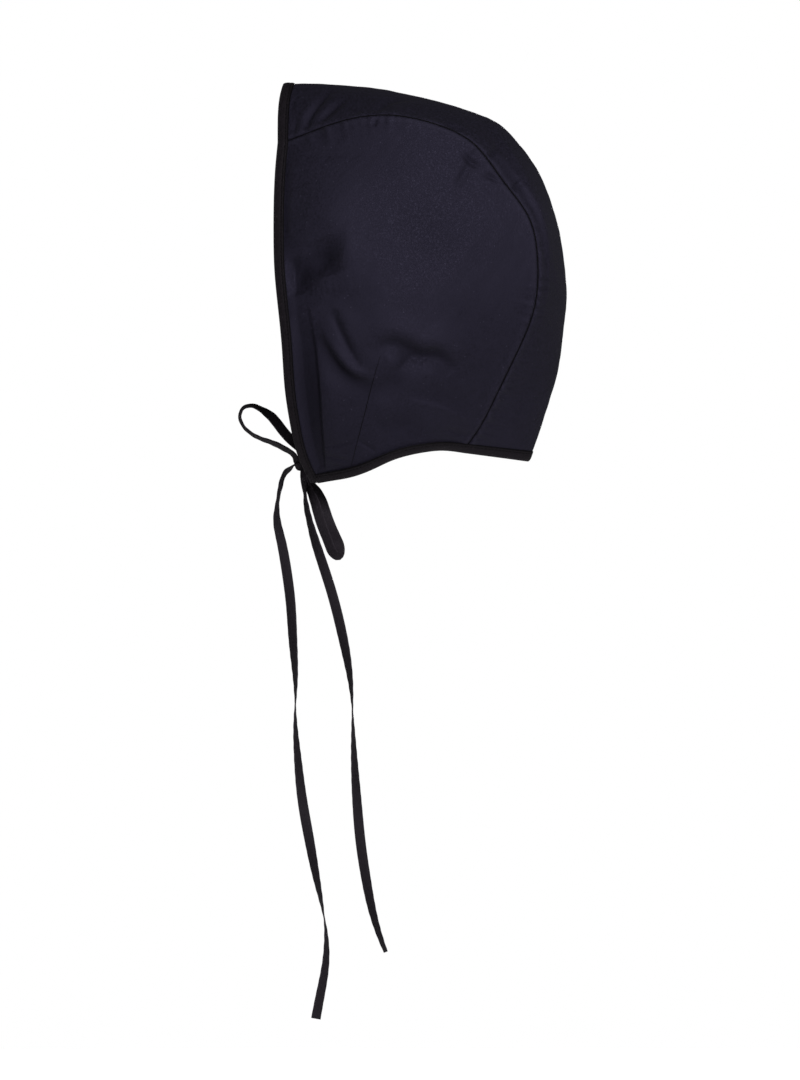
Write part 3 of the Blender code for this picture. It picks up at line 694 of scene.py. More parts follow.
def face_edge_points():
    """The left face edge from the top seam's corner to the chin corner."""
    first = CROWN_SECTIONS[0]
    start = place(first.half_width * CROWN_WIDTH / 2, first.seam_depth, first.seam_height)
    rows = [place(row.breadth * FACE_WIDTH / 2, row.depth, row.height) for row in FACE_EDGE]
    return np.array([start, *rows, chin])


def join_parts(parts):
    """Meshes end to end: each part's face numbers start after the points before it."""
    points, faces, uv, wear_and_shade = [], [], [], []
    for part_points, part_faces, part_uv, part_worn in parts:
        start = sum(len(earlier) for earlier in points)
        points.append(part_points)
        faces += [[start + corner for corner in face] for face in part_faces]
        uv.append(part_uv)
        wear_and_shade.append(part_worn)
    return np.concatenate(points), faces, np.concatenate(uv), np.concatenate(wear_and_shade)


# %% Make the two ties
def make_tie(name, side, loop, tail, nodes):
    """Lead, loop and tail of one tape, with its centre line from the chin corner to its end."""
    parts = [lead_tape(side), free_tape(*loop), free_tape(*tail)]
    points, faces, uv, wear_and_shade = join_parts([mesh for _, mesh in parts])
    piece = make_piece(name, points, faces, TIE, uv, wear_and_shade)
    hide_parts(*nodes)
    path = np.concatenate([line for line, _ in parts])
    print(f"{name}: {lengths_along(path)[-1]:.3f} m long")
    return piece, path


tie_left, left_path = make_tie(
    "tie_left", 1, ("top", TOP_EXIT, FRONT_LOOP_ROUTE, "front", FRONT_LOOP_RETURN),
    ("front", LONG_TAIL_EXIT, LONG_TAIL_ROUTE), ("tie_lead_left", "bow_loop_front", "tie_tail_long"))
tie_right, right_path = make_tie(
    "tie_right", -1, ("bottom", LOW_LOOP_EXIT, LOW_LOOP_ROUTE, "bottom", LOW_LOOP_RETURN),
    ("bottom", SHORT_TAIL_EXIT, SHORT_TAIL_ROUTE), ("tie_lead_right", "bow_loop_low", "tie_tail_short"))

# %% [markdown]
# ## The knot
#
# Where the two tapes cross, one wraps round the other. From outside that is a small barrel
# with a strand slanting over it and puckers above and below. Its radius is worked out over
# the angle round it and the height up it, and the ends close in over the tapes. It sits
# 2.2 mm lower than the CAD knot, where the picture shows it.

# %% Make the knot
KNOT_AROUND, KNOT_UP = 72, 44
KNOT_VIEW_DROP = 0.0022
KNOT_WORN = 0.25
BAND_SLANT, BAND_HEIGHT, BAND_HALF = 0.55, 0.0007, 0.0034
RIDGE_HEIGHT, RIDGES = 0.00022, 7


def knot_surface():
    """Radii of a rounded barrel times (0.86 + band + ridges), each a share of half the width.

    Up the knot, v runs from -1 to 1 and the radius is (1 - |v|^4)^(1/4). The band is raised
    where |v * half height - slant * sin(angle) * half width| is under half its width.
    """
    angle = np.linspace(0, 2 * np.pi, KNOT_AROUND, endpoint=False)[None, :]
    v = np.sin(np.linspace(-np.pi / 2, np.pi / 2, KNOT_UP))[:, None]
    swell = (1 - np.abs(v) ** 4) ** 0.25
    off_band = np.abs(v * KNOT_HEIGHT / 2 - BAND_SLANT * np.sin(angle) * KNOT_WIDTH / 2)
    band = BAND_HEIGHT / (1 + np.exp((off_band - BAND_HALF) / 0.00018))
    ridge = RIDGE_HEIGHT * np.cos(RIDGES * angle + 3 * v) * np.abs(v)
    radius = swell * (0.86 + (band + ridge) / (KNOT_WIDTH / 2))
    x = radius * np.cos(angle) * KNOT_WIDTH / 2
    y = radius * np.sin(angle) * KNOT_DEPTH / 2
    z = v * KNOT_HEIGHT / 2 * np.ones_like(angle)
    return KNOT - (0.0, 0.0, KNOT_VIEW_DROP) + np.stack([x, y, z], axis=-1)


surface = knot_surface()
rows, columns = surface.shape[:2]
faces = grid_faces(rows, columns, ring=True).tolist()
faces += [list(range(columns))[::-1], list(range(rows * columns - columns, rows * columns))]
wrap_map = np.stack(np.broadcast_arrays(
    np.linspace(0, 0.028, columns)[None, :], np.linspace(0, KNOT_HEIGHT, rows)[:, None]), axis=-1)
knot_wrap = make_piece("bow_knot_wrap", surface, faces, TIE, wrap_map,
                       np.full(surface.shape[:2], KNOT_WORN))
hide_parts("bow_knot")

# %% [markdown]
# ## Folds in the cloth
#
# The hood is cut flat and sewn round, so the cloth pulls into folds at the cheek, round the
# dart and along the seams. A cloth simulation could find folds, but not these ones. Here
# each fold is a line on the panel with a rise and a width on each side of it. A narrow width
# makes a steep wall, as at the pleat, and a wide one a soft swell.

# %% Fold tools
Fold = namedtuple("Fold", "name rise fore aft line")
FOLD_STEPS = 80


def fold_height(spots, fold, fade):
    """rise * sin(pi * share along)^fade * exp(-(distance / width)^2), the width of the side it lies on.

    Spots are (y, z) in metres. The fore side lies to the right of a traveller along the line.
    """
    marks = place(0.0, *np.array(fold.line).T)[:, 1:]
    along = lengths_along(marks)
    share = np.linspace(0, 1, FOLD_STEPS)
    path = spline(along, marks, share * along[-1])
    run = unit(np.gradient(path, axis=0))
    offset = spots[..., None, :] - path
    nearest = (offset ** 2).sum(axis=-1).argmin(axis=-1)
    offset = np.take_along_axis(offset, nearest[..., None, None], axis=-2)[..., 0, :]
    run = run[nearest]
    sideways = run[..., 0] * offset[..., 1] - run[..., 1] * offset[..., 0]
    lengthways = (run * offset).sum(axis=-1)
    beyond = np.where((nearest == 0) | (nearest == FOLD_STEPS - 1), lengthways, 0.0)
    width = np.where(sideways < 0, fold.fore, fold.aft)
    swell = np.exp(-(sideways / width) ** 2 - (beyond / np.minimum(fold.fore, fold.aft)) ** 2)
    return fold.rise * np.sin(np.pi * np.clip(share[nearest], 0.02, 0.98)) ** fade * swell


def all_folds(points, folds, fade=0.5):
    """Sum of the folds' heights over a panel's points."""
    return sum(fold_height(points[..., 1:], fold, fade) for fold in folds)


def ripples(seed, u, v, wavelength, count=7):
    """Mean of cosine waves of about one wavelength in seeded directions and phases, over u and v."""
    draw = np.random.default_rng(seed)
    angle = draw.uniform(0, np.pi, count)
    phase = draw.uniform(0, 2 * np.pi, count)
    number = 2 * np.pi / (wavelength * draw.uniform(0.7, 1.4, count))
    travel = u[..., None] * np.cos(angle) + v[..., None] * np.sin(angle)
    return np.cos(number * travel + phase).mean(axis=-1)


def seam_roll(distance):
    """-dip * exp(-(d / roll)^2) + lip * exp(-((d - 3.2 mm) / 2 mm)^2): cloth turns down into its seam."""
    lip = SEAM_LIP * np.exp(-((distance - SEAM_LIP_AT) / SEAM_LIP_WIDTH) ** 2)
    return lip - SEAM_DIP * np.exp(-(distance / SEAM_ROLL) ** 2)


def seam_puckers(seed, along, distance):
    """Uneven waves along the seam, largest a little way in: height * (d / reach) * exp(1 - d / reach)."""
    draw = np.random.default_rng(seed)
    lengths = draw.uniform(*PUCKER_SPAN, 6)
    phases = draw.uniform(0, 2 * np.pi, 6)
    wave = np.cos(2 * np.pi * along[..., None] / lengths + phases).sum(axis=-1) / 6
    uneven = np.clip(0.45 + 1.5 * ripples(seed + 5, along, along * 0, 0.055), 0, 1.6)
    return SEAM_PUCKER * wave * uneven * distance / PUCKER_REACH * np.exp(1 - distance / PUCKER_REACH)


# Wear lightens the cloth beside its seams and on ridges; the darkening in seams and hollows is painted shade.
BESIDE_SEAM, BESIDE_AT, BESIDE_WIDTH = 0.16, 0.0028, 0.0018   # how much worn, how far off, how wide
PAINTED_SEAM_SHADE, PAINTED_SEAM_SHADE_WIDTH = 0.7, 0.0007                          # how much darker in the seam, and how wide
RIDGE_WEAR, HOLLOW_SHADE, HOLLOW_LIMIT = 20, 140, 0.0045      # for a metre of height or depth, at most


def wear_and_painted_shade(distance, folds):
    """Wear beside seams and on ridges; painted shade in seams and hollows, by their depth up to a limit."""
    light = BESIDE_SEAM * np.exp(-((distance - BESIDE_AT) / BESIDE_WIDTH) ** 2)
    light += RIDGE_WEAR * np.clip(folds, 0, None)
    dark = PAINTED_SEAM_SHADE * np.exp(-(distance / PAINTED_SEAM_SHADE_WIDTH) ** 2)
    return light + HOLLOW_SHADE * np.clip(folds, -HOLLOW_LIMIT, 0) - dark


SEAM_DIP, SEAM_ROLL, SEAM_LIP = 0.0011, 0.0009, 0.0003
SEAM_LIP_AT, SEAM_LIP_WIDTH = 0.0032, 0.0020
SEAM_PUCKER, PUCKER_REACH, PUCKER_SPAN = 0.0013, 0.0035, (0.006, 0.017)
CROWDING = 0.75


def crowded(count):
    """x - crowding * x * (1 - x)^3 for even x: steps are small at 0, nearly even from a quarter on."""
    x = np.linspace(0, 1, count + 1)
    return x - CROWDING * x * (1 - x) ** 3


# %% [markdown]
# ## The centre panel
#
# Across each section the panel is a hyperbola whose tip is as round as the table says, with
# a soft crease beside the seam where the real cloth has been pressed. Close to the seams the
# cloth turns down into them, and short puckers run away from the stitching.

# %% The centre panel's surface
CROWN_FOLDS = (
    Fold("first pull from the seam", -0.0024, 0.0016, 0.0030,
         ((0.110, 0.874), (0.134, 0.921), (0.165, 0.951), (0.196, 0.978))),
    Fold("swell before it", 0.0010, 0.0035, 0.0030, ((0.085, 0.872), (0.112, 0.925), (0.150, 0.962))),
    Fold("second pull", -0.0020, 0.0020, 0.0028, ((0.158, 0.899), (0.203, 0.929), (0.248, 0.955))),
    Fold("swell between them", 0.0008, 0.0030, 0.0030, ((0.135, 0.893), (0.172, 0.930), (0.215, 0.962))),
    Fold("nick at the binding", -0.0011, 0.0014, 0.0018,
         ((0.066, 0.856), (0.072, 0.884), (0.079, 0.908))),
    Fold("pull beside the binding", -0.0010, 0.0015, 0.0024,
         ((0.047, 0.905), (0.062, 0.939), (0.076, 0.966))),
    Fold("pull at the top", -0.0018, 0.0016, 0.0040,
         ((0.345, 0.914), (0.378, 0.939), (0.423, 0.953), (0.470, 0.955))),
    Fold("light over that pull", 0.0009, 0.0040, 0.0050,
         ((0.330, 0.935), (0.365, 0.950), (0.420, 0.962))),
    Fold("pull over the ear", -0.0015, 0.0020, 0.0020, ((0.588, 0.896), (0.612, 0.884), (0.646, 0.876))),
    Fold("pull at the back", -0.0016, 0.0020, 0.0025, ((0.738, 0.808), (0.756, 0.827), (0.773, 0.842))),
    Fold("low pull at the back", -0.0016, 0.0018, 0.0022,
         ((0.822, 0.730), (0.838, 0.743), (0.860, 0.751))),
    Fold("crease down the back", 0.0026, 0.0034, 0.0085,
         ((0.735, 0.912), (0.804, 0.832), (0.859, 0.760), (0.922, 0.661), (0.957, 0.550),
          (0.992, 0.440))),
)
CROWN_ROWS, CROWN_HALF = 340, 60
UNDER_TAPE = 0.0063          # the cloth lies flat this far in from a bound edge
BOUND_CALM = 0.006           # and its folds grow over this length beyond
OTHER_SIDE_FOLDS = 0.6
CENTRE_WAVES = ((0.0009, 0.050), (0.00022, 0.014))       # rise and wavelength


def crown_rows(stations):
    """The table's spline over seam length: 0 to 1 runs along the top seam, 1 to 2 down the back seam."""
    table = np.array(CROWN_SECTIONS)
    seam = place(table[:, 4] * CROWN_WIDTH / 2, table[:, 0], table[:, 1])
    along = lengths_along(seam)
    corner = along[CORNER_SECTION]
    wanted = np.where(stations < 1, stations * corner, corner + (stations - 1) * (along[-1] - corner))
    return spline(along, table, wanted)


def seam_line(stations):
    """The left seam at those stations."""
    rows = crown_rows(np.asarray(stations, float))
    return place(rows[:, 4] * CROWN_WIDTH / 2, rows[:, 0], rows[:, 1])


def crown_surface(stations, columns):
    """Hyperbola 1 - (hypot(c, r) - r) / (hypot(1, r) - r) plus a ridge beside the seam, for columns c."""
    seam_depth, seam_height, spine_depth, spine_height, width, roundness, crease, corner = (
        crown_rows(stations).T[:, :, None])
    c = np.abs(columns)[None, :]
    arch = 1 - (np.hypot(c, roundness) - roundness) / (np.hypot(1.0, roundness) - roundness)
    ridge = np.where(c > CREASE_COLUMN, (1 - c) / (1 - CREASE_COLUMN), c / CREASE_COLUMN)
    rise = np.clip(arch + crease * ridge, 0, 1)
    depth = seam_depth + (spine_depth - seam_depth) * rise ** corner
    height = seam_height + (spine_height - seam_height) * rise
    return place(columns[None, :] * width * CROWN_WIDTH / 2, depth, height)


def centre_panel():
    """The crown's surface moved along its normals by seam rolls, puckers, ripples and folds."""
    half = 1 - crowded(CROWN_HALF)
    columns = np.concatenate([half, -half[:-1][::-1]])
    stations = np.linspace(0, 2, CROWN_ROWS + 1)
    points = crown_surface(stations, columns)
    out = surface_normals(points[:, ::-1])[:, ::-1]
    lengths = cloth_lengths(points)
    u, v = lengths[..., 0], lengths[..., 1]
    left, along_left = from_line(points, points[:, 0])
    right, along_right = from_line(points, points[:, -1])
    nearest = np.minimum(left, right)
    edge = np.clip((np.minimum(v - v[:1], v[-1:] - v) - UNDER_TAPE) / BOUND_CALM, 0, 1)
    push = seam_roll(nearest)
    puckers_left = seam_puckers(11, along_left, left)
    puckers_right = seam_puckers(12, along_right, right)
    push += edge * np.where(left < right, puckers_left, puckers_right)
    calm = edge * np.clip(nearest / 0.003, 0, 1)
    for seed, (rise, wavelength) in zip((13, 14), CENTRE_WAVES):
        push += calm * rise * ripples(seed, u, v, wavelength)
    share = np.where(points[..., 0] > 0, 1.0, OTHER_SIDE_FOLDS)
    folds = all_folds(points, CROWN_FOLDS)
    push += calm * share * folds
    print(f"centre panel off its smooth form: {push.min() * 1000:.1f} to {push.max() * 1000:.1f} mm")
    # Wear on ridges and beside seams, and painted shade in hollows and seams.
    wear_and_shade = wear_and_painted_shade(nearest, calm * share * folds)
    return points + push[..., None] * out, lengths, wear_and_shade


crown, crown_map, crown_wear_and_shade = centre_panel()
centre_cloth = make_piece("centre_cloth", crown[:, ::-1], grid_faces(*crown.shape[:2]), NAVY,
                          crown_map[:, ::-1], crown_wear_and_shade[:, ::-1])
give_thickness(centre_cloth, CLOTH, -1.0)
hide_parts("centre_panel_brow", "centre_panel_crown", "centre_panel_nape")
print("centre panel, square metres:", round(grid_area(crown), 4))

# %% [markdown]
# ## The side panels
#
# A side panel hangs between four edges: the top seam, the back seam, the face edge and the
# neck edge. A Coons patch blends both pairs of edges and takes the corners off once. Then
# the middle is filled out to the width of the head, and the folds go in.

# %% The side panels' surface
SIDE_FOLDS = (
    Fold("pleat", 0.0024, 0.0013, 0.0120,
         ((0.124, 0.440), (0.138, 0.377), (0.148, 0.320), (0.162, 0.234), (0.168, 0.164),
          (0.175, 0.093), (0.186, 0.010))),
    Fold("strip before the pleat", -0.0042, 0.0105, 0.0150,
         ((0.075, 0.440), (0.088, 0.340), (0.100, 0.240), (0.112, 0.140), (0.130, 0.010))),
    Fold("hollow before the dart", -0.0044, 0.0100, 0.0050,
         ((0.150, 0.385), (0.190, 0.325), (0.224, 0.289), (0.268, 0.262), (0.340, 0.246))),
    Fold("lip over that hollow", 0.0025, 0.0030, 0.0040,
         ((0.165, 0.382), (0.200, 0.341), (0.236, 0.308), (0.278, 0.281), (0.336, 0.268))),
    Fold("second hollow", -0.0018, 0.0030, 0.0026,
         ((0.205, 0.425), (0.230, 0.380), (0.254, 0.345), (0.290, 0.300))),
    Fold("shoulder behind it", 0.0014, 0.0040, 0.0080, ((0.215, 0.450), (0.258, 0.385), (0.300, 0.335))),
    Fold("wave behind the dart", 0.0034, 0.0060, 0.0130,
         ((0.340, 0.360), (0.380, 0.376), (0.420, 0.377), (0.470, 0.363), (0.515, 0.351),
          (0.556, 0.351), (0.600, 0.336), (0.640, 0.300))),
    Fold("hollow under the wave", -0.0046, 0.0110, 0.0062,
         ((0.355, 0.338), (0.390, 0.351), (0.425, 0.349), (0.470, 0.334), (0.505, 0.321),
          (0.545, 0.322), (0.590, 0.306), (0.625, 0.275))),
    Fold("light below the wave", 0.0010, 0.0100, 0.0080,
         ((0.375, 0.318), (0.412, 0.318), (0.448, 0.318))),
    Fold("thin arc", -0.0004, 0.0026, 0.0020,
         ((0.366, 0.292), (0.412, 0.286), (0.457, 0.306), (0.492, 0.330))),
    Fold("band under the arc", -0.0022, 0.0100, 0.0080,
         ((0.345, 0.250), (0.402, 0.253), (0.443, 0.279), (0.486, 0.305))),
    Fold("swell under the wave", 0.0014, 0.0120, 0.0080,
         ((0.430, 0.240), (0.500, 0.285), (0.590, 0.262))),
    Fold("thin crease", 0.0009, 0.0040, 0.0012, ((0.470, 0.212), (0.564, 0.194), (0.665, 0.166))),
    Fold("shade over the thin crease", -0.0012, 0.0080, 0.0110,
         ((0.470, 0.235), (0.570, 0.222), (0.690, 0.195))),
    Fold("pulls at the pleat's foot", -0.0009, 0.0012, 0.0016,
         ((0.172, 0.098), (0.220, 0.101), (0.268, 0.112))),
    Fold("second pull", -0.0009, 0.0012, 0.0016, ((0.178, 0.074), (0.217, 0.068), (0.262, 0.058))),
    Fold("third pull", -0.0008, 0.0012, 0.0016, ((0.184, 0.052), (0.227, 0.047), (0.262, 0.048))),
    Fold("pull behind the dart", -0.0010, 0.0012, 0.0018,
         ((0.276, 0.115), (0.316, 0.100), (0.350, 0.083))),
    Fold("pull by the back seam", -0.0011, 0.0022, 0.0026,
         ((0.590, 0.140), (0.660, 0.122), (0.720, 0.105))),
    Fold("hollow over the neck", -0.0020, 0.0090, 0.0090,
         ((0.345, 0.135), (0.430, 0.150), (0.520, 0.140))),
    Fold("swell at the dart's foot", 0.0009, 0.0070, 0.0070,
         ((0.340, 0.215), (0.375, 0.190), (0.400, 0.165))),
    Fold("dimple at the cheek", -0.0070, 0.0150, 0.0110,
         ((0.158, 0.612), (0.182, 0.560), (0.198, 0.516))),
    Fold("hollow between the dimples", -0.0030, 0.0110, 0.0110,
         ((0.095, 0.560), (0.140, 0.548), (0.180, 0.532))),
    Fold("dimple by the face edge", -0.0060, 0.0140, 0.0110,
         ((0.058, 0.565), (0.082, 0.515), (0.102, 0.472))),
    Fold("fullness behind the face edge", 0.0058, 0.0240, 0.0300,
         ((0.165, 0.820), (0.165, 0.640), (0.150, 0.470))),
    Fold("lip of the dimple", 0.0014, 0.0050, 0.0090,
         ((0.262, 0.640), (0.245, 0.570), (0.205, 0.520), (0.160, 0.480))),
    Fold("faint crease", -0.0006, 0.0010, 0.0030, ((0.024, 0.716), (0.079, 0.736), (0.145, 0.750))),
    Fold("notch in the top seam", -0.0014, 0.0012, 0.0018,
         ((0.352, 0.912), (0.346, 0.900), (0.340, 0.888))),
    Fold("pull at the back of the ear", -0.0014, 0.0022, 0.0022,
         ((0.646, 0.822), (0.677, 0.800), (0.710, 0.785))),
    Fold("slant below it", -0.0014, 0.0030, 0.0034, ((0.690, 0.812), (0.660, 0.778), (0.628, 0.738))),
    Fold("pull further down", -0.0014, 0.0018, 0.0024, ((0.715, 0.770), (0.763, 0.757), (0.812, 0.744))),
    Fold("soft hollow across the side", -0.0016, 0.0200, 0.0160,
         ((0.420, 0.690), (0.520, 0.640), (0.640, 0.560))),
)
SIDE_ROWS, SIDE_COLUMNS = 232, 190
FULL_AT = 0.012
SIDE_WAVES = ((0.0011, 0.060), (0.0002, 0.015))          # rise and wavelength


def edge_line(first, rows, last, half_opening, places):
    """The spline from corner to corner through the rows of an edge's table."""
    inner = [place(row.breadth * half_opening, row.depth, row.height) for row in rows]
    return smooth_line(np.array([first, *inner, last]), places)


def side_form(s, t):
    """(1-t) top + t neck + (1-s) face + s back - the four corners' blend, plus 16 s(1-s)t(1-t) fullness."""
    top = seam_line(s)
    back = seam_line(1 + t)
    face = edge_line(top[0], FACE_EDGE, chin, FACE_WIDTH / 2, t)
    neck = edge_line(chin, NECK_EDGE, back[-1], NECK_WIDTH / 2, s)
    s, t = s[None, :, None], t[:, None, None]
    corners = (1 - t) * ((1 - s) * top[0] + s * top[-1]) + t * ((1 - s) * chin + s * back[-1])
    points = (1 - t) * top[None] + t * neck[None] + (1 - s) * face[:, None] + s * back[:, None] - corners
    fullness = HOOD_WIDTH / 2 - points[..., 0].max()
    points[..., 0] += fullness * 16 * (s * (1 - s) * t * (1 - t))[..., 0]
    return points


def side_panel(seed, fold_share):
    """The side's form moved along its normals by seam rolls, puckers, ripples and folds."""
    s = 1 - crowded(SIDE_COLUMNS)[::-1]
    t = crowded(SIDE_ROWS)
    points = side_form(s, t)
    out = -surface_normals(points)
    lengths = cloth_lengths(points)
    u, v = lengths[..., 0], lengths[..., 1]
    seam, along = from_line(points, seam_line(np.linspace(0, 2, 681)))
    bound = np.minimum(from_line(points, points[:, 0])[0], from_line(points, points[-1])[0])
    push = seam_roll(seam)
    free = np.clip(bound - UNDER_TAPE, 0, None)
    push += np.clip(free / BOUND_CALM, 0, 1) * seam_puckers(seed, along, seam)
    calm = np.clip(np.minimum(seam, free) / FULL_AT, 0, 1)
    folds = all_folds(points, SIDE_FOLDS)
    edge_calm = np.clip(np.minimum(seam, free) / BOUND_CALM, 0, 1)
    push += edge_calm * fold_share * folds
    for number, (rise, wavelength) in enumerate(SIDE_WAVES):
        push += calm * rise * ripples(seed + 1 + number, u, v, wavelength)
    print(f"side panel off its smooth form: {push.min() * 1000:.1f} to {push.max() * 1000:.1f} mm")
    # Wear on ridges and beside seams, and painted shade in hollows and seams.
    wear_and_shade = wear_and_painted_shade(seam, edge_calm * fold_share * folds)
    return points + push[..., None] * out, lengths, wear_and_shade


MIRROR = np.array([-1.0, 1.0, 1.0])
left_side, left_map, left_wear_and_shade = side_panel(21, 1.0)
side_cloth_left = make_piece("side_cloth_left", left_side[::-1], grid_faces(*left_side.shape[:2]), NAVY,
                             left_map[::-1], left_wear_and_shade[::-1])
give_thickness(side_cloth_left, CLOTH, -1.0)
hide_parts("side_panel_left")

right_side, right_map, right_wear_and_shade = side_panel(31, 0.8)
side_cloth_right = make_piece("side_cloth_right", right_side * MIRROR, grid_faces(*right_side.shape[:2]),
                              NAVY, right_map, right_wear_and_shade)
give_thickness(side_cloth_right, CLOTH, -1.0)
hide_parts("side_panel_right")
print("side panel, square metres:", round(grid_area(left_side), 4))

# %% [markdown]
# ## Sewn lines
#
# A seam shows as a dark ditch with thread at its bottom. The panels already turn down into
# the seams. A fine thread line lies in each ditch, and a finer one marks the sewn dart, where
# the real cloth is stitched from inside.

# %% Thread in the seams and the dart
THREAD_RADIUS, DART_RADIUS, THREAD_SIDES = 0.00042, 0.00030, 8
DART_LINE = ((0.366, 0.322), (0.340, 0.258), (0.313, 0.182), (0.285, 0.105), (0.263, 0.042))


def on_side(line, surface, count):
    """Points of a line on the panel: the nearest point of its grid, carried there over its tangent plane."""
    marks = place(0.0, *np.array(line).T)[:, 1:]
    along = lengths_along(marks)
    spots = spline(along, marks, np.linspace(0, along[-1], count))
    flat = surface.reshape(-1, 3)
    out = -surface_normals(surface).reshape(-1, 3)
    nearest = ((spots[:, None] - flat[None, :, 1:]) ** 2).sum(axis=-1).argmin(axis=-1)
    base, out = flat[nearest], out[nearest]
    step = spots - base[:, 1:]
    x = base[:, 0] - (out[:, 1:] * step).sum(axis=1) / out[:, 0]
    return np.column_stack([x, spots]), out


def tube(line, radius, sides):
    """Ring = centre + radius * (cos(angle) * first + sin(angle) * second), thinner at both ends."""
    run = unit(np.gradient(line, axis=0))
    first = unit(np.cross(run, (0.31, 0.27, 0.91)))
    second = np.cross(run, first)
    angle = np.linspace(0, 2 * np.pi, sides, endpoint=False)[None, :, None]
    ends = np.sin(np.pi * np.linspace(0.03, 0.97, len(line))) ** 0.3
    spokes = np.cos(angle) * first[:, None] + np.sin(angle) * second[:, None]
    points = line[:, None] + radius * ends[:, None, None] * spokes
    faces = grid_faces(*points.shape[:2], ring=True).tolist()
    last = points.shape[0] * sides
    faces += [list(range(sides))[::-1], list(range(last - sides, last))]
    return points.reshape(-1, 3), faces, np.zeros((last, 2)), np.zeros(last)


sewn = []
for surface, flip in ((left_side, 1), (right_side, -1)):
    points, out = on_side(DART_LINE, surface, 90)
    sewn.append(tube((points - 0.00005 * out) * (flip, 1, 1), DART_RADIUS, THREAD_SIDES))
seam_bottom = crown[:, 0] * 0.5 + seam_line(np.linspace(0, 2, CROWN_ROWS + 1)) * 0.5
for flip in (1, -1):
    sewn.append(tube(seam_bottom * (flip, 1, 1), THREAD_RADIUS, THREAD_SIDES))
points, faces, _, _ = join_parts(sewn)
sewn_lines = make_piece("sewn_lines", points, faces, THREAD)

# %% [markdown]
# ## Inside the hood
#
# The seams are pressed towards the sides, and their allowances lie against the cloth inside,
# where the face opening shows them. Each is a strip of the side's own grid, moved in by a
# little more than the cloth's thickness. The picture doesn't show them, so they are a guess.

# %% Seam allowances
ALLOWANCE_ROWS = 12
ALLOWANCE_IN = CLOTH + 0.0004


def allowance(grid, flip):
    """The first rows of a grid, moved in under the cloth and lifted a little off it at the free edge."""
    out = -surface_normals(grid)
    rows = grid[:ALLOWANCE_ROWS, 2:-3] - out[:ALLOWANCE_ROWS, 2:-3] * ALLOWANCE_IN
    free = np.linspace(0, 1, ALLOWANCE_ROWS)[:, None, None] ** 2
    along = lengths_along(rows[-1])[None, :, None]
    rows = rows - out[:ALLOWANCE_ROWS, 2:-3] * free * (0.0004 + 0.0003 * np.sin(along / 0.006))
    uv = cloth_lengths(rows)
    return rows * (flip, 1, 1), uv


strips = []
for surface, flip in ((left_side, 1), (right_side, -1)):
    for grid in (surface[::2], surface[:, ::-1][:, ::2].transpose(1, 0, 2)):
        rows, uv = allowance(grid, flip)
        faces = grid_faces(*rows.shape[:2])
        if flip > 0:
            faces = faces[:, ::-1]
        plain = np.zeros(rows.shape[0] * rows.shape[1])
        strips.append((rows.reshape(-1, 3), faces.tolist(), uv.reshape(-1, 2), plain))
points, faces, uv, wear_and_shade = join_parts(strips)
seam_allowances = make_piece("seam_allowances", points, faces, NAVY, uv, wear_and_shade)
give_thickness(seam_allowances, CLOTH * 0.8, 0.0)

# %% [markdown]
# ## The bound edges
#
# Bias tape is folded over each raw edge and stitched through. Seen close up it is a soft
# roll: it bulges between the edge and the stitching, dips at the stitches and stands up
# again at its turned-under rim. That profile is carried along the edge on both faces.

# %% Tape over an edge
BOUND = (  # share of the tape's width from the fold, and height over the cloth in metres
    (0.985, 0.00002), (0.950, 0.00034), (0.880, 0.00040), (0.800, 0.00012), (0.730, 0.00038),
    (0.550, 0.00062), (0.350, 0.00068), (0.150, 0.00058), (0.030, 0.00030),
)
BOUND_WALL = 0.00045
BOUND_OUT = 0.0013           # from the cloth's edge out to where the fold starts to turn
BOUND_WAVE, BOUND_WAVE_LENGTH = 0.00016, 0.0075
RIM_SWAY, RIM_SWAY_LENGTH = 0.00025, 0.02
STITCH_LINE = 0.80


def across_edge(edge, inner):
    """Directions at each point of an edge: its run, square to it into the cloth, and out of the cloth."""
    run = unit(np.gradient(edge, axis=0))
    inward = inner - edge
    inward = unit(inward - run * (inward * run).sum(axis=1, keepdims=True))
    return run, inward, unit(np.cross(inward, run))


def bound_profile():
    """Inner leg, fold round the edge, outer leg: (distance into the cloth, height over its outside)."""
    outer = np.array(BOUND) * (TAPE_WIDTH, 1)
    fold = np.array([(-0.00035, -0.00005), (-0.0005, -CLOTH / 2), (-0.00035, -CLOTH + 0.00005)])
    inner = outer[::-1] * (1, -1) - (0, CLOTH)
    return (np.concatenate([outer, fold, inner]) - (BOUND_OUT, 0))[::-1]


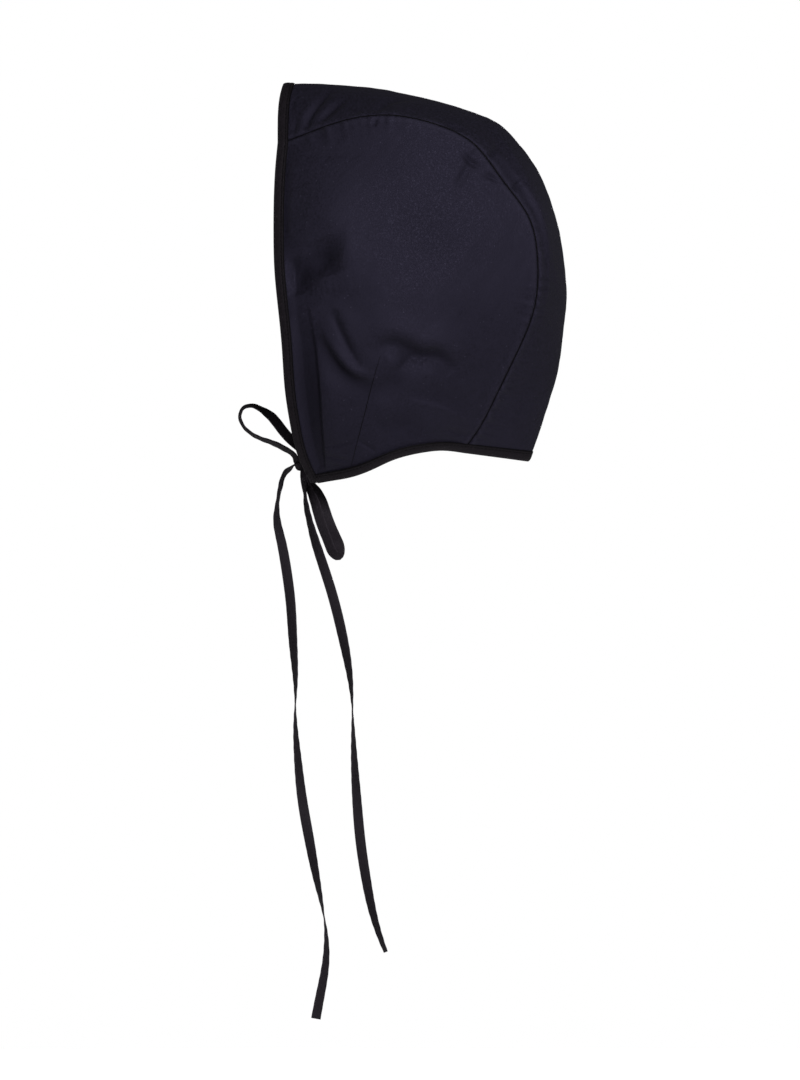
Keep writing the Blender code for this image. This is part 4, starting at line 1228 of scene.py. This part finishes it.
def bind(name, edge, inner, node, seed, lift=0.0):
    """The profile carried along the edge, with small waves of its height and of its reach."""
    run, inward, out = across_edge(edge, inner)
    along = lengths_along(edge)
    profile = bound_profile()
    side = np.sign(profile[:, 1] + CLOTH / 2)
    height = profile[:, 1] + side * lift
    middle = np.sin(np.pi * np.clip((profile[:, 0] + BOUND_OUT) / TAPE_WIDTH, 0, 1))
    wave = ripples(seed, along[:, None], along[:, None] * 0, BOUND_WAVE_LENGTH)
    height = height[None, :] + BOUND_WAVE * wave * (middle * side)[None, :]
    sway = ripples(seed + 1, along[:, None], along[:, None] * 0, RIM_SWAY_LENGTH)
    reach = profile[None, :, 0] + RIM_SWAY * sway * middle[None, :]
    points = edge[:, None] + reach[..., None] * inward[:, None] + height[..., None] * out[:, None]
    ring = lengths_along(profile)
    uv = np.stack(np.broadcast_arrays(ring[None, :], along[:, None]), axis=-1)
    from_fold = profile[:, 0] + BOUND_OUT
    # Wear lightens the tape at its fold. The darkening at its inner rim and along the stitch line is painted
    # shade.
    wear_and_shade = 0.5 * np.exp(-(from_fold / 0.0008) ** 2) - 0.5 * (from_fold > 0.0066)
    wear_and_shade -= 0.5 * np.exp(-((from_fold - STITCH_LINE * TAPE_WIDTH) / 0.0005) ** 2)
    wear_and_shade = np.broadcast_to(wear_and_shade[None, :], points.shape[:2])
    piece = make_piece(name, points, grid_faces(*points.shape[:2]), TAPE, uv, wear_and_shade)
    give_thickness(piece, BOUND_WALL, 1.0)
    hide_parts(node)
    return piece


EDGE_STEPS = 420
t = np.linspace(0, 1, EDGE_STEPS + 1)
fine = side_form(np.array([0.0, 0.02, 1.0]), t)
face_left, face_inner = fine[::-1, 0], fine[::-1, 1]
brow = crown_surface(np.array([0.0, 0.02]), np.linspace(1, -1, 161))
face_edge = np.concatenate([face_left, brow[0, 1:-1], face_left[::-1] * MIRROR])
face_within = np.concatenate([face_inner, brow[1, 1:-1], face_inner[::-1] * MIRROR])
face_tape = bind("face_tape", face_edge, face_within, "face_binding", 41, lift=0.00012)

NECK_START = 0.0045
fine = side_form(t, np.array([0.0, 0.98, 1.0]))
neck_side, neck_inner = fine[2], fine[1]
begin = lengths_along(neck_side) > NECK_START
neck_side, neck_inner = neck_side[begin], neck_inner[begin]
nape = crown_surface(np.array([1.98, 2.0]), np.linspace(-1, 1, 141))
neck_edge = np.concatenate([neck_side * MIRROR, nape[1, 1:-1], neck_side[::-1]])
neck_within = np.concatenate([neck_inner * MIRROR, nape[0, 1:-1], neck_inner[::-1]])
neck_tape = bind("neck_tape", neck_edge, neck_within, "neck_binding", 51)
for label, edge in (("face", face_edge), ("neck", neck_edge)):
    print(f"{label} edge: {lengths_along(edge)[-1]:.3f} m")

# %% [markdown]
# ## Machine stitching
#
# One row of stitches holds each tape. A stitch is a tiny loaf of thread, about 2.1 mm long,
# sunk at both ends where it goes through the cloth. One loaf is worked out on a small grid
# and placed a few hundred times with one array sum.

# %% Stitches
STITCH_PITCH, STITCH_LENGTH, STITCH_RADIUS = 0.0029, 0.0021, 0.00036
STITCH_RINGS, STITCH_SIDES = 6, 6
STITCH_HUMP = 0.00008        # how far its middle stands over its ends


def stitches(name, edge, inner, lift):
    """Loaf = centre + along * run + radius(along) * (cos * inward + sin * out), repeated along both faces."""
    run, inward, out = across_edge(edge, inner)
    along = lengths_along(edge)
    spots = np.arange(STITCH_PITCH, along[-1] - STITCH_PITCH, STITCH_PITCH)
    table = np.concatenate([edge, run, inward, out], axis=1)
    table = np.stack([np.interp(spots, along, column) for column in table.T], axis=1)
    edge, run, inward, out = (table[:, k:k + 3] for k in (0, 3, 6, 9))
    share = np.linspace(-1, 1, STITCH_RINGS)
    angle = np.linspace(0, 2 * np.pi, STITCH_SIDES, endpoint=False)
    plump = np.sqrt(1 - 0.94 * share ** 2) * STITCH_RADIUS
    parts = []
    for side, base in ((1, 0.00012 + BOUND_WALL + lift), (-1, -CLOTH - 0.00012 - BOUND_WALL - lift)):
        centre = edge + inward * (STITCH_LINE * TAPE_WIDTH - BOUND_OUT) + out * base
        rise = plump[:, None] * np.sin(angle) + (1 - share[:, None] ** 2) * side * STITCH_HUMP
        rings = (centre[:, None, None] + (share * STITCH_LENGTH / 2)[None, :, None, None] * run[:, None, None]
                 + (plump[:, None] * np.cos(angle))[None, :, :, None] * inward[:, None, None]
                 + rise[None, :, :, None] * out[:, None, None])
        parts.append(rings)
    rings = np.concatenate(parts).reshape(-1, STITCH_RINGS * STITCH_SIDES, 3)
    one = grid_faces(STITCH_RINGS, STITCH_SIDES, ring=True)[:, ::-1]
    last = STITCH_RINGS * STITCH_SIDES
    starts = (np.arange(len(rings)) * last)[:, None, None]
    quads = (one[None] + starts).reshape(-1, 4).tolist()
    first_cap = (np.arange(STITCH_SIDES)[None] + starts[:, 0]).tolist()
    last_cap = (np.arange(last - STITCH_SIDES, last)[::-1][None] + starts[:, 0]).tolist()
    return make_piece(name, rings, quads + first_cap + last_cap, THREAD)


face_stitches = stitches("face_stitches", face_edge, face_within, 0.00012)
neck_stitches = stitches("neck_stitches", neck_edge, neck_within, 0.0)


# Painted shadow: a dark tube along each tape's inner rim stands for the shade there; this is its radius.
RIM_SHADOW_RADIUS = 0.0004


def rim_shadow_tube(edge, inner):
    """The tube that lies on the cloth along the tape's inner rim, a dark line of painted shadow."""
    _, inward, out = across_edge(edge, inner)
    line = edge + inward * (TAPE_WIDTH - BOUND_OUT + RIM_SHADOW_RADIUS) + out * 0.0002
    return tube(line[6:-6:2], RIM_SHADOW_RADIUS, THREAD_SIDES)


# The painted shadow lines take the black thread finish.
points, faces, _, _ = join_parts([rim_shadow_tube(face_edge, face_within), rim_shadow_tube(neck_edge, neck_within)])
rim_shadow_lines = make_piece("rim_shadow_lines", points, faces, THREAD)

# %% [markdown]
# ## How large the cloth is when flat
#
# The flat size of each panel is printed, so that whoever uses the part knows how much cloth
# shows. The real cuts aren't known: the sizes are those of the panels without folds, and
# leave out seam allowances and hems. Their edges are curved, so their area is printed too.

smooth_centre = crown_surface(np.linspace(0, 2, CROWN_ROWS + 1), np.linspace(1, -1, 2 * CROWN_HALF + 1))
smooth_side = side_form(1 - crowded(SIDE_COLUMNS)[::-1], crowded(SIDE_ROWS))
for label, smooth in (("centre", smooth_centre), ("side", smooth_side)):
    width, length = np.ptp(cloth_lengths(smooth).reshape(-1, 2), axis=0)
    print(f"{label} panel without folds: {width:.4f} x {length:.4f} m, {grid_area(smooth):.5f} square metres")

# %% [markdown]
# ## Floor and light
#
# The picture is a product shot on white. The light comes from a soft source above and to the
# right of the camera, so that cloth facing it is brightest and it falls off as the cloth turns
# away. Weaker lamps on the other sides show the part all round. The sky is white to look at
# and dim as a light, which keeps the folds readable.

# %% Stage and lights
FLOOR_DROP = 0.035
FLOOR_RADIUS = 0.9


def make_floor():
    """A flat disc with 96 sides, a little below the longest tie."""
    angle = np.linspace(0, 2 * np.pi, 96, endpoint=False)
    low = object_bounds()[0][2] - FLOOR_DROP
    rim = np.column_stack([FLOOR_RADIUS * np.cos(angle), FLOOR_RADIUS * np.sin(angle), np.full(96, low)])
    mesh = bpy.data.meshes.new("floor")
    mesh.from_pydata(rim.tolist(), [], [list(range(96))])
    material = bpy.data.materials.new("pale floor")
    material.use_nodes = True
    shader = material.node_tree.nodes["Principled BSDF"]
    shader.inputs["Base Color"].default_value = (0.9, 0.9, 0.9, 1.0)
    shader.inputs["Roughness"].default_value = 0.9
    shader.inputs["Emission Color"].default_value = (1.0, 1.0, 1.0, 1.0)
    path = material.node_tree.nodes.new("ShaderNodeLightPath")
    glow = math_node(material.node_tree, "MULTIPLY_ADD", path.outputs["Is Camera Ray"], 0.75, 0.05)
    material.node_tree.links.new(glow, shader.inputs["Emission Strength"])
    mesh.materials.append(material)
    floor = bpy.data.objects.new("floor", mesh)
    bpy.context.scene.collection.objects.link(floor)
    return floor


def area_light(name, where, aim, size, power):
    """A square area light whose -Z looks from where it stands to its aim."""
    light = bpy.data.lights.new(name, "AREA")
    light.size = size
    light.energy = power
    lamp = bpy.data.objects.new(name, light)
    forward = unit(np.array(aim) - np.array(where))
    right = unit(np.cross(forward, (0.0, 0.0, 1.0)))
    up = np.cross(right, forward)
    matrix = np.eye(4)
    matrix[:3, :3] = np.column_stack([right, up, -forward])
    matrix[:3, 3] = where
    lamp.matrix_world = matrix.T
    bpy.context.scene.collection.objects.link(lamp)
    return lamp


def white_world(ambient):
    """Background of strength 1 to the camera, and of the ambient strength to everything else."""
    world = bpy.data.worlds.new("white studio")
    world.use_nodes = True
    tree = world.node_tree
    back = tree.nodes["Background"]
    back.inputs["Color"].default_value = (1.0, 1.0, 1.0, 1.0)
    path = tree.nodes.new("ShaderNodeLightPath")
    strength = math_node(tree, "MULTIPLY_ADD", path.outputs["Is Camera Ray"], 1.0 - ambient, ambient)
    tree.links.new(strength, back.inputs["Strength"])
    bpy.context.scene.world = world


make_floor()
white_world(0.05)
area_light("key", (2.25, 0.8, 0.8), (0.0, 0.0, -0.15), 0.7, 53.0)
area_light("beside the camera", (2.35, -0.55, 0.2), (0.0, 0.0, -0.2), 0.7, 8.0)
area_light("right side", (-2.4, 0.0, -0.1), (0.0, 0.0, -0.15), 0.7, 44.0)
area_light("front side", (-0.9, -2.3, 0.3), (0.0, 0.0, -0.15), 1.4, 8.0)
area_light("back side", (-0.9, 2.3, 0.3), (0.0, 0.0, -0.15), 1.4, 4.0)
bpy.context.scene.view_settings.view_transform = "Standard"
bpy.context.scene.view_settings.look = "None"

# %% [markdown]
# ## Which way the faces point
#
# A render looks right even if faces point inwards, and whoever opens the mesh file finds it
# out. The volume in a closed mesh comes out below zero in that case, so it is printed.

# %% Do the faces point outwards?
def signed_volume(piece):
    """Sum of a . (b x c) / 6 over the triangles, in cubic centimetres: above zero if they face outwards."""
    shown = piece.evaluated_get(bpy.context.evaluated_depsgraph_get())
    mesh = shown.to_mesh()
    mesh.calc_loop_triangles()
    corners = np.empty(len(mesh.loop_triangles) * 3, np.int32)
    mesh.loop_triangles.foreach_get("vertices", corners)
    places = np.empty(len(mesh.vertices) * 3, np.float32)
    mesh.vertices.foreach_get("co", places)
    a, b, c = places.astype(float).reshape(-1, 3)[corners.reshape(-1, 3)].transpose(1, 0, 2)
    shown.to_mesh_clear()
    return (a * np.cross(b, c)).sum() / 6 * 1e6, len(corners) // 3


for piece in (tie_left, tie_right, knot_wrap, centre_cloth, side_cloth_left, side_cloth_right, sewn_lines,
              seam_allowances, face_tape, neck_tape, face_stitches, neck_stitches, rim_shadow_lines):
    volume, triangles = signed_volume(piece)
    print(f"{piece.name}: {volume:.3f} cubic centimetres, {triangles} triangles")
